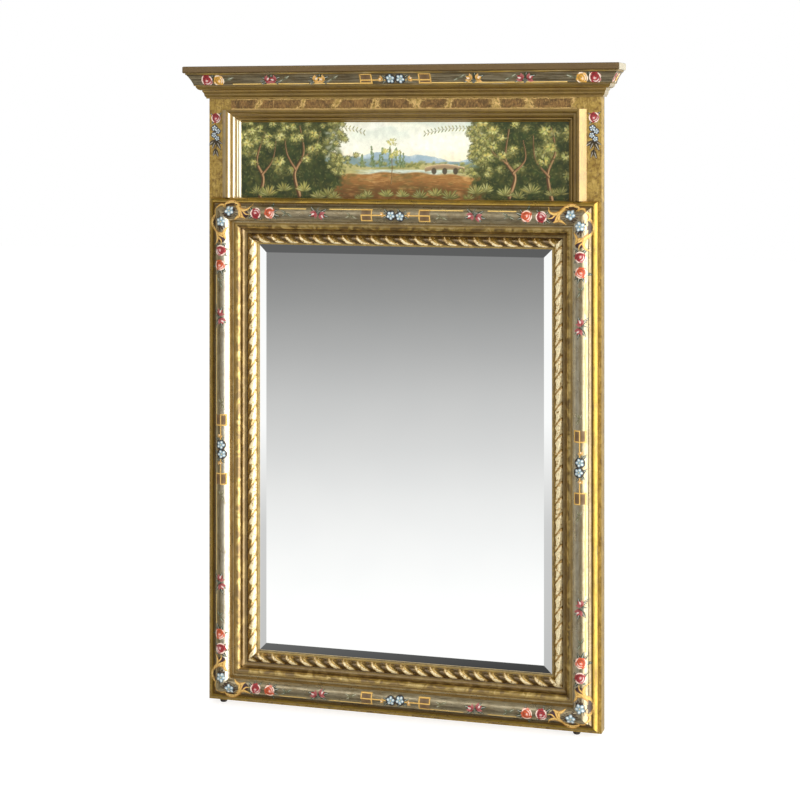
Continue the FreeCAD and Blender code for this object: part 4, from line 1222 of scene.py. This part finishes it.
def paint_foreground(board, rng):
    """Plants along the lower edge, a young tree and a leafy branch against the sky."""
    w, h = board.width, board.height
    for k in range(9):
        rosette(board, rng, w * (0.31 + 0.05 * k + 0.012 * rng.normal()), h * rng.uniform(-0.02, 0.05),
                rng.uniform(13, 24))
    for start, way, length, level in ((0.735, -1, 0.17, 0.9), (0.295, 1, 0.1, 0.9)):
        steps = int(length * w / 7)
        for k in range(steps):
            t = k / steps
            x0 = w * (start + way * length * t)
            y0 = h * (level + 0.05 * math.sin(3 * t) - 0.07 * t)
            board.dab(x0, y0, 8.5, 1.2, way * -0.15, screen(120, 98, 60), 0.8, 0.5)
            for lean in (-1, 1):
                angle = (math.pi if way < 0 else 0) + lean * 0.95
                board.dab(x0 + math.cos(angle) * 4.2, y0 + math.sin(angle) * 4.2, 8.0, 2.5, angle,
                          screen(*rng.choice([[128, 128, 66], [168, 160, 88], [96, 106, 54]])), 0.9, 0.4)
    x0 = w * 0.47
    board.limb([(x0, h * 0.2), (x0 + 2, h * 0.42), (x0 - 1, h * 0.66)], 3.0, 1.4, screen(104, 80, 44),
               screen(180, 150, 96))
    for dx, y0, size in ((0, 0.74, 13), (-13, 0.62, 10), (12, 0.6, 11), (2, 0.56, 8)):
        for k in range(44):
            t = k / 44
            angle = rng.random() * math.tau
            far = size * (1 - 0.5 * t) * rng.random() ** 0.5
            board.dab(x0 + dx + math.cos(angle) * far, h * y0 + math.sin(angle) * far * 0.72, 5.2, 2.4,
                      angle + rng.normal() * 0.3, screen(136 + 90 * t, 136 + 78 * t, 70 + 50 * t), 0.8, 0.5)


def painted_board(width, height, step, seed=4):
    """The whole landscape as an array of linear colours, lowest row first."""
    rng = np.random.default_rng(seed)
    board = Picture(width, height, step)
    paint_sky_and_land(board, rng)
    paint_bridge(board, rng)
    paint_grove(board, rng, -1)
    paint_grove(board, rng, 1)
    paint_foreground(board, rng)
    rows, columns = board.rows, board.columns
    board.paint *= (0.93 + 0.14 * soft_noise(rng, rows, columns, (20, 90), 3))[..., None]
    value = np.clip(board.paint, 0, 1)
    return np.where(value <= 0.04045, value / 12.92, ((value + 0.055) / 1.055) ** 2.4)


# ---------------------------------------------------------------- operators


class MIRROR_OT_gild_frame(bpy.types.Operator):
    """Gild and silver the lower frame's mouldings"""

    bl_idname = "mirror.gild_frame"
    bl_label = "Gild the lower frame"

    def execute(self, context):
        leaf = context.scene.mirror_gilding
        gold, deep, pale = tuple(leaf.gold), tuple(leaf.gold_deep), tuple(leaf.gold_pale)
        set_finish(silvered_moulding(leaf), *["painted_moulding_" + side for side in SIDES])
        brown = blend_tone(gold, deep, 0.72)
        stops = [(0, deep), (0.8, blend_tone(deep, gold, 0.4)), (2.4, gold),
                 (5.0, blend_tone(gold, pale, 0.2)),
                 (10.6, gold),
                 (11.4, deep), (12.6, brown), (17.0, brown), (19.6, blend_tone(gold, deep, 0.3)),
                 (20.4, deep),
                 (36.8, deep), (37.6, gold), (44.4, blend_tone(gold, pale, 0.3))]
        set_finish(gilt_moulding(leaf, "liner_gilding", 44.4, stops),
                   *["gilt_liner_" + side for side in SIDES])
        return {"FINISHED"}


class MIRROR_OT_carve_rope(bpy.types.Operator):
    """Carve the twisted rope from the four slips"""

    bl_idname = "mirror.carve_rope"
    bl_label = "Carve the rope"

    @staticmethod
    def glaze(side, part, up, groove):
        """How dark a point is: glaze in the grooves, darker along the rope's foot, and painted shade on the
        side of each strand turned from the light.
        """
        flank_shade = math.exp(-((part + 0.14) / 0.3) ** 2) * (1.0 if side in ("top", "bottom") else 0.5)
        return min(1.0, max(groove, flank_shade) + (0.3 if up < 0.12 else 0.0))

    @staticmethod
    def highlight_and_wear(side, part, cross, up, lower):
        """How pale a strand is painted: a painted highlight, partly rubbed gold, as a comma on the lit side
        of level ropes and over most of the strand on upright ones.
        """
        rim = min(1.0, up * 4)
        if lower:
            spread = 0.125 + 0.075 * lower * cross
            comma = 1.6 - 1.1 * abs(part - 0.2) / spread
            return min(1.0, max(0.0, comma)) * rim * (0.8 + 0.3 * lower * cross)
        crack = min(1.0, max(0.0, 1.45 - (0.5 - abs(part)) / 0.1))
        if side == "right":
            band = (0.12 + 3.0 * part * part - cross) / 0.22
        else:
            band = (cross + 0.42 - 0.35 * math.sin(math.tau * part)) / 0.3
        return min(1.0, max(0.0, band)) * (1 - 0.7 * crack) * rim * 0.95

    def execute(self, context):
        carving = context.scene.mirror_carving
        material = rope_gilding(context.scene.mirror_gilding)
        outer_u = FRAME_HIGH - ROPE_BOX[1].z
        inner_u = FRAME_HIGH - ROPE_BOX[0].z
        middle_u = (outer_u + inner_u) / 2 + ROPE_SHIFT
        radius = carving.radius
        seat_depth = ROPE_BOX[0].y + ROPE_SEAT
        for side in SIDES:
            length = FRAME_TALL if side in ("left", "right") else FRAME_WIDE
            place = arm_place(side)
            hand = 1 if side in ("left", "bottom") else -1
            lower = {"top": 1, "bottom": -1}.get(side, 0)
            usable = length - 2 * middle_u
            turns = max(1, round(usable / carving.pitch))
            pitch = usable / turns
            columns = int(usable / carving.step) + 2
            points, faces, hollow_and_shade, rubbed = [], [], [], []
            for i in range(columns + 1):
                along = middle_u + usable * i / columns
                near = min(along - middle_u, length - middle_u - along)
                pull = max(0.0, 1 - near / MITRE_ZONE) * (1 if i * 2 < columns else -1)
                for j in range(carving.around + 1):
                    angle = math.pi * j / carving.around
                    cross = -math.cos(angle)
                    up = math.sin(angle)
                    reach = radius * (cross * math.cos(ROPE_TILT) + up * math.sin(ROPE_TILT))
                    phase = (along + reach * pull - length / 2) / pitch
                    phase += hand * carving.slant * (cross / 2 + 0.15 * lower * cross * cross)
                    part = phase - round(phase)
                    ridge = math.sqrt(max(0.0, 1 - (2 * part) ** 2)) ** 0.9
                    r = radius - carving.groove * (1 - ridge) * min(1.0, up * 1.7)
                    a, b = r * cross, r * up
                    u = middle_u + a * math.cos(ROPE_TILT) + b * math.sin(ROPE_TILT)
                    y = seat_depth + a * math.sin(ROPE_TILT) - b * math.cos(ROPE_TILT)
                    x, _, z = place(along + (u - middle_u) * pull, u)
                    points.append((x, y, z))
                    groove = max(0.0, 1 - ridge - 0.45) / 0.55
                    hollow_and_shade.append(self.glaze(side, part, up, groove))
                    # The rubbed share is mostly a painted highlight on the lit side of each strand, partly
                    # rubbed gold.
                    rubbed.append(self.highlight_and_wear(side, part, cross, up, lower))
            wide = carving.around + 1
            for i in range(columns):
                for j in range(carving.around):
                    corner = i * wide + j
                    face = (corner, corner + 1, corner + wide + 1, corner + wide)
                    faces.append(face if side in ("left", "bottom") else face[::-1])
            rope = mesh_piece("carved_rope_" + side, points, faces, material,
                              shares={"hollow_and_shade": hollow_and_shade, "rubbed": rubbed})
            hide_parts("rope_slip_" + side)
        return {"FINISHED"}


class MIRROR_OT_finish_carcass(bpy.types.Operator):
    """Finish the carcass boards and the mouldings above the frame"""

    bl_idname = "mirror.finish_carcass"
    bl_label = "Finish carcass and upper mouldings"

    def execute(self, context):
        leaf = context.scene.mirror_gilding
        set_finish(carcass_finish(leaf, "antique_gold_upright", "z"), "stile_left", "stile_right")
        set_finish(carcass_finish(leaf, "antique_gold_frieze", "x", True), "top_rail")
        set_finish(carcass_finish(leaf, "antique_gold_rail", "x"), "mid_rail", "bottom_rail")
        # The left moulding is gilded lighter with pale ends and the right one darker: painted highlight and
        # painted shade, as the light comes from the right.
        set_finish(plain_gilding(leaf, "stepped_gilding_left_painted_highlight", 0.1, 0.6, lengthwise=False, ends=0.85,
                                 satin=0.06),
                   "upper_moulding_left")
        set_finish(plain_gilding(leaf, "stepped_gilding_right_painted_shade", 0.5, 0.2, lengthwise=False),
                   "upper_moulding_right")
        set_finish(plain_gilding(leaf, "stepped_gilding_level", 0.4, 0.2), "upper_moulding_top")
        return {"FINISHED"}


class MIRROR_OT_finish_cornice(bpy.types.Operator):
    """Finish the cornice: top board, painted crown and bed mouldings"""

    bl_idname = "mirror.finish_cornice"
    bl_label = "Finish the cornice"

    def execute(self, context):
        leaf = context.scene.mirror_gilding
        # The end faces of the board and of the bed mouldings are painted pale: painted highlight.
        set_finish(plain_gilding(leaf, "top_board_gilding", 0.9, 0.1, glaze=0.8, ends=0.85), "cornice_board")
        set_finish(crown_finish(leaf), "crown_front", "crown_left", "crown_right")
        set_finish(plain_gilding(leaf, "bed_gilding", 0.3, 0.2, ends=0.4), "bed_moulding_front",
                   "bed_moulding_left",
                   "bed_moulding_right")
        return {"FINISHED"}


class MIRROR_OT_silver_glass(bpy.types.Operator):
    """Silver the glass and finish the boards and the hardware behind it"""

    bl_idname = "mirror.silver_glass"
    bl_label = "Glass, boards and hardware"

    def execute(self, context):
        leaf = context.scene.mirror_gilding
        set_finish(mirror_finish(), "mirror_glass")
        set_finish(hardboard_finish(leaf), "mirror_backing", "picture_backing")
        set_finish(bare_wood_finish(leaf, "batten_wood_level", "x"), "picture_batten_top",
                   "picture_batten_bottom")
        set_finish(bare_wood_finish(leaf, "batten_wood_upright", "z"), "picture_batten_left",
                   "picture_batten_right",
                   "picture_panel")
        set_finish(metal_finish("zinc_plate", (0.55, 0.55, 0.54), (0.3, 0.3, 0.3)), "backing_clips",
                   "board_screws",
                   "hanger_strap_left", "hanger_strap_right", "hanger_ring_left", "hanger_ring_right")
        set_finish(metal_finish("brass_screw", (0.62, 0.46, 0.2), (0.3, 0.2, 0.08), 0.3), "clip_screws",
                   "hanger_screws")
        set_finish(rubber_finish(), "foot_left", "foot_right", "wall_bumpers")
        return {"FINISHED"}


class MIRROR_OT_paint_frame(bpy.types.Operator):
    """Paint roses, buds, key squares and scrolls on the lower frame"""

    bl_idname = "mirror.paint_frame"
    bl_label = "Paint the lower frame"

    def execute(self, context):
        settings = context.scene.mirror_ornament
        surface = surface_of(*["painted_moulding_" + side for side in SIDES])
        paint = brushwork_finish()
        for side in SIDES:
            brush = Brush(surface, arm_place(side))
            paint_arm(brush, FRAME_TALL if side in ("left", "right") else FRAME_WIDE, settings)
            brush.piece("frame_flowers_" + side, paint, "silver_leaf_paint")
        for level in ("top", "bottom"):
            for side in ("left", "right"):
                brush = Brush(surface, corner_place(side, level))
                paint_corner(brush, settings)
                brush.piece("corner_scroll_%s_%s" % (level, side), paint, "silver_leaf_paint")
        return {"FINISHED"}


class MIRROR_OT_paint_cornice(bpy.types.Operator):
    """Paint the crown's field and the flats beside the picture"""

    bl_idname = "mirror.paint_cornice"
    bl_label = "Paint cornice and flats"

    def execute(self, context):
        settings = context.scene.mirror_ornament
        paint = bpy.data.materials["ornament_paint"]
        field = (CROWN_LOW + 1.9 * MM, CROWN_HIGH - 4.2 * MM)
        brush = Brush(surface_of("crown_front"), lambda a, b: (a, -0.2, b), limits=field)
        paint_crown_front(brush, settings)
        brush.piece("crown_flowers_front", paint, "silver_leaf_paint")
        for side, way in (("left", -1), ("right", 1)):
            brush = Brush(surface_of("crown_" + side), lambda a, b, way=way: (way * 0.8, a, b), (-way, 0, 0),
                          field)
            paint_crown_return(brush, settings)
            brush.piece("crown_flowers_" + side, paint, "silver_leaf_paint")
            x = way * (CARCASS_SIDE + CREST_SIDE + 12 * MM) / 2
            brush = Brush(surface_of("stile_" + side), lambda a, b: (a, -0.2, b))
            paint_jamb(brush, x, settings)
            brush.piece("jamb_flowers_" + side, paint, "gold_paint_wood")
        return {"FINISHED"}


class MIRROR_OT_paint_picture(bpy.types.Operator):
    """Paint the landscape on the picture panel"""

    bl_idname = "mirror.paint_picture"
    bl_label = "Paint the picture"

    def execute(self, context):
        low = FRAME_HIGH
        wide, tall = PICTURE_RIGHT - PICTURE_LEFT, PICTURE_HIGH - low
        step = 1.0
        colours = painted_board(wide / MM, tall / MM, step)
        rows, columns = colours.shape[:2]
        x = np.linspace(PICTURE_LEFT, PICTURE_RIGHT, columns)
        z = np.linspace(low, PICTURE_HIGH, rows)
        grid = np.zeros((rows, columns, 3))
        grid[..., 0] = x[None, :]
        grid[..., 1] = PICTURE_FACE - 0.3 * MM
        grid[..., 2] = z[:, None]
        index = np.arange(rows * columns).reshape(rows, columns)
        faces = np.stack([index[:-1, :-1], index[:-1, 1:], index[1:, 1:], index[1:, :-1]], -1).reshape(-1, 4)
        mesh_piece("picture_painting", grid.reshape(-1, 3).tolist(), faces.tolist(), picture_finish(),
                   colours=colours.reshape(-1, 3))
        return {"FINISHED"}


class MIRROR_OT_set_studio(bpy.types.Operator):
    """Set up floor, lamps, daylight and camera"""

    bl_idname = "mirror.set_studio"
    bl_label = "Set up the studio"

    def execute(self, context):
        studio = context.scene.mirror_studio
        context.scene.view_settings.view_transform = "Standard"
        self.lay_floor()
        self.hang_lamp("key_lamp", (3.3, -1.35, 1.35), (0.0, 0.0, 0.75), (3.4, 3.0), studio.key)
        self.hang_lamp("fill_lamp", (-1.4, -4.2, 2.9), (0.0, 0.0, 0.7), (2.4, 2.4), studio.fill)
        self.set_daylight(context, studio.daylight)
        self.place_camera(context)
        return {"FINISHED"}

    def lay_floor(self):
        size = 14.0
        corners = [(-size, -size, 0), (size, -size, 0), (size, size, 0), (-size, size, 0)]
        mesh = bpy.data.meshes.new("studio_floor")
        mesh.from_pydata(corners, [], [(0, 1, 2, 3)])
        floor = bpy.data.objects.new("studio_floor", mesh)
        bpy.context.scene.collection.objects.link(floor)
        floor.visible_glossy = False
        mix = Finish("pale_floor")
        glow = mix.node("ShaderNodeEmission")
        glow.inputs["Strength"].default_value = 0.8
        matt = mix.node("ShaderNodeBsdfDiffuse")
        matt.inputs["Color"].default_value = (0.36, 0.36, 0.36, 1)
        both = mix.node("ShaderNodeAddShader")
        mix.put(both.inputs[0], glow.outputs[0])
        mix.put(both.inputs[1], matt.outputs[0])
        plain = mix.node("ShaderNodeBsdfDiffuse")
        plain.inputs["Color"].default_value = (0.8, 0.8, 0.8, 1)
        ray = mix.node("ShaderNodeLightPath")
        choose = mix.node("ShaderNodeMixShader")
        mix.put(choose.inputs[0], ray.outputs["Is Camera Ray"])
        mix.put(choose.inputs[1], plain.outputs[0])
        mix.put(choose.inputs[2], both.outputs[0])
        output = mix.tree.nodes["Material Output"]
        mix.put(output.inputs["Surface"], choose.outputs[0])
        mesh.materials.append(mix.material)

    def hang_lamp(self, name, place, target, size, power):
        lamp = bpy.data.lights.new(name, "AREA")
        lamp.shape = "RECTANGLE"
        lamp.size, lamp.size_y = size
        lamp.energy = power
        holder = bpy.data.objects.new(name, lamp)
        bpy.context.scene.collection.objects.link(holder)
        holder.location = place
        aim = Vector(target) - Vector(place)
        holder.rotation_euler = aim.to_track_quat("-Z", "Y").to_euler()
        holder.visible_glossy = name != "key_lamp"

    def set_daylight(self, context, strength):
        """Even light; polished surfaces see a bright sweep of the room, darker high up and on the left."""
        world = bpy.data.worlds.new("studio_room")
        context.scene.world = world
        world.use_nodes = True
        tree = world.node_tree
        tree.nodes.clear()

        def node(kind, **settings):
            made = tree.nodes.new(kind)
            for key, value in settings.items():
                setattr(made, key, value)
            return made

        def ramp(value, stops):
            made = node("ShaderNodeValToRGB")
            while len(made.color_ramp.elements) < len(stops):
                made.color_ramp.elements.new(0.5)
            for element, (place, grey) in zip(made.color_ramp.elements, stops):
                element.position = place
                shade = grey if hasattr(grey, "__len__") else (grey, grey, grey)
                element.color = (*shade, 1)
            tree.links.new(value, made.inputs[0])
            return made.outputs[0]

        def mixed(share, first, second):
            made = node("ShaderNodeMix", data_type="RGBA")
            tree.links.new(share, made.inputs[0])
            tree.links.new(first, made.inputs[6])
            tree.links.new(second, made.inputs[7])
            return made.outputs[2]

        where = node("ShaderNodeTexCoord").outputs["Generated"]
        split = node("ShaderNodeSeparateXYZ")
        tree.links.new(where, split.inputs[0])
        ahead = node("ShaderNodeMath", operation="MULTIPLY")
        tree.links.new(split.outputs[1], ahead.inputs[0])
        ahead.inputs[1].default_value = -1.0
        turn = node("ShaderNodeMath", operation="ARCTAN2")
        tree.links.new(split.outputs[0], turn.inputs[0])
        tree.links.new(ahead.outputs[0], turn.inputs[1])
        around = node("ShaderNodeMapRange")
        for socket, value in zip(around.inputs[1:5], (-math.pi, math.pi, 0.0, 1.0)):
            socket.default_value = value
        tree.links.new(turn.outputs[0], around.inputs[0])
        level = node("ShaderNodeMapRange")
        for socket, value in zip(level.inputs[1:5], (-0.6, 0.6, 0.0, 1.0)):
            socket.default_value = value
        tree.links.new(split.outputs[2], level.inputs[0])

        def heading(degrees):
            return (degrees + 180) / 360

        def height(sine):
            return (sine + 0.6) / 1.2

        room = ramp(around.outputs[0], [
            (heading(-180), (0.3, 0.29, 0.26)), (heading(-95), (0.55, 0.5, 0.36)),
            (heading(-66), (0.3, 0.27, 0.2)),
            (heading(-45), (0.16, 0.15, 0.12)), (heading(4), (0.2, 0.2, 0.18)),
            (heading(14), (0.3, 0.29, 0.27)),
            (heading(30), (1.0, 0.99, 0.94)), (heading(120), (1.0, 0.99, 0.94)),
            (heading(150), (0.8, 0.78, 0.7))])
        glare = ramp(around.outputs[0], [
            (heading(25), 0.0), (heading(39), 0.34), (heading(54), 0.74), (heading(66), 1.0),
            (heading(95), 1.0),
            (heading(135), 0.0)])
        low = ramp(level.outputs[0], [(height(-0.5), 0.5), (height(-0.2), 1.0), (height(0.4), 1.0),
                                      (height(0.6), 0.5)])
        sheet = ramp(level.outputs[0], [
            (height(-0.5), 0.3), (height(-0.27), 0.55), (height(-0.2), 0.66), (height(-0.15), 1.02),
            (height(0.3), 1.0),
            (height(0.6), 0.4)])
        card = ramp(level.outputs[0], [
            (height(-0.56), 0.12), (height(-0.4147), 0.047), (height(-0.3), 0.6), (height(-0.27), 1.06),
            (height(-0.2372), 1.06),
            (height(-0.2132), 0.98), (height(-0.1888), 0.865), (height(-0.164), 0.72), (height(-0.1388), 0.6),
            (height(-0.1136), 0.452), (height(-0.0879), 0.325), (height(-0.0684), 0.25), (height(0.0), 0.17),
            (height(0.094), 0.112), (height(0.6), 0.3)])
        strips = ramp(around.outputs[0], [
            (heading(-37), 0.0), (heading(-34), 1.0), (heading(0), 1.0), (heading(3), 0.0)])
        screen_part = ramp(around.outputs[0], [
            (heading(-25.6), 0.0), (heading(-24.2), 1.0), (heading(-9.2), 1.0), (heading(-7.8), 0.0)])
        seen = mixed(strips, room, sheet)
        seen = mixed(screen_part, seen, card)

        plain = node("ShaderNodeBackground")
        plain.inputs["Color"].default_value = (1, 1, 1, 1)
        plain.inputs["Strength"].default_value = strength
        polished = node("ShaderNodeBackground")
        tree.links.new(seen, polished.inputs["Color"])
        gain = node("ShaderNodeMath", operation="MULTIPLY")
        tree.links.new(glare, gain.inputs[0])
        tree.links.new(low, gain.inputs[1])
        power = node("ShaderNodeMath", operation="MULTIPLY_ADD")
        tree.links.new(gain.outputs[0], power.inputs[0])
        power.inputs[1].default_value = 3.9
        power.inputs[2].default_value = 1.0
        tree.links.new(power.outputs[0], polished.inputs["Strength"])
        backdrop = node("ShaderNodeBackground")
        backdrop.inputs["Color"].default_value = (1, 1, 1, 1)
        ray = node("ShaderNodeLightPath")
        first = node("ShaderNodeMixShader")
        tree.links.new(ray.outputs["Is Glossy Ray"], first.inputs[0])
        tree.links.new(plain.outputs[0], first.inputs[1])
        tree.links.new(polished.outputs[0], first.inputs[2])
        second = node("ShaderNodeMixShader")
        tree.links.new(ray.outputs["Is Camera Ray"], second.inputs[0])
        tree.links.new(first.outputs[0], second.inputs[1])
        tree.links.new(backdrop.outputs[0], second.inputs[2])
        tree.links.new(second.outputs[0], node("ShaderNodeOutputWorld").inputs[0])

    def place_camera(self, context):
        lens = bpy.data.cameras.new("front_camera")
        lens.sensor_fit = "HORIZONTAL"
        lens.sensor_width = 36.0
        lens.lens = CAMERA_LENS
        lens.shift_y = CAMERA_SHIFT
        camera = bpy.data.objects.new("front_camera", lens)
        context.scene.collection.objects.link(camera)
        camera.location = CAMERA_PLACE
        camera.rotation_euler = (math.radians(90), 0, CAMERA_TURN)
        context.scene.camera = camera


class MIRROR_PT_dressing(bpy.types.Panel):
    """Lists the steps of the dressing and what can be changed"""

    bl_idname = "MIRROR_PT_dressing"
    bl_label = "Trumeau mirror"
    bl_space_type = "VIEW_3D"
    bl_region_type = "UI"
    bl_category = "Mirror"

    def draw(self, context):
        layout = self.layout
        for step in STEPS:
            layout.operator(step.bl_idname)
        for name, group in SETTINGS:
            box = layout.box()
            for key in group.__annotations__:
                box.prop(getattr(context.scene, name), key)


SETTINGS = (
    ("mirror_gilding", GildingSettings),
    ("mirror_carving", CarvingSettings),
    ("mirror_ornament", OrnamentSettings),
    ("mirror_studio", StudioSettings),
)
STEPS = (
    MIRROR_OT_gild_frame,
    MIRROR_OT_carve_rope,
    MIRROR_OT_finish_carcass,
    MIRROR_OT_finish_cornice,
    MIRROR_OT_silver_glass,
    MIRROR_OT_paint_frame,
    MIRROR_OT_paint_cornice,
    MIRROR_OT_paint_picture,
    MIRROR_OT_set_studio,
)


def register():
    for name, group in SETTINGS:
        bpy.utils.register_class(group)
        setattr(bpy.types.Scene, name, PointerProperty(type=group))
    for step in STEPS:
        bpy.utils.register_class(step)
    bpy.utils.register_class(MIRROR_PT_dressing)


def unregister():
    bpy.utils.unregister_class(MIRROR_PT_dressing)
    for step in reversed(STEPS):
        bpy.utils.unregister_class(step)
    for name, group in reversed(SETTINGS):
        delattr(bpy.types.Scene, name)
        bpy.utils.unregister_class(group)


def run_step(step):
    """Run one step; a step that doesn't finish is an error."""
    family, name = step.bl_idname.split(".")
    if "FINISHED" not in getattr(getattr(bpy.ops, family), name)():
        raise RuntimeError("step %s didn't finish" % step.bl_idname)


def main():
    """Dress the mirror step by step."""
    register()
    for step in STEPS:
        run_step(step)
    bpy.context.view_layer.update()


if __name__ == "__main__":
    main()
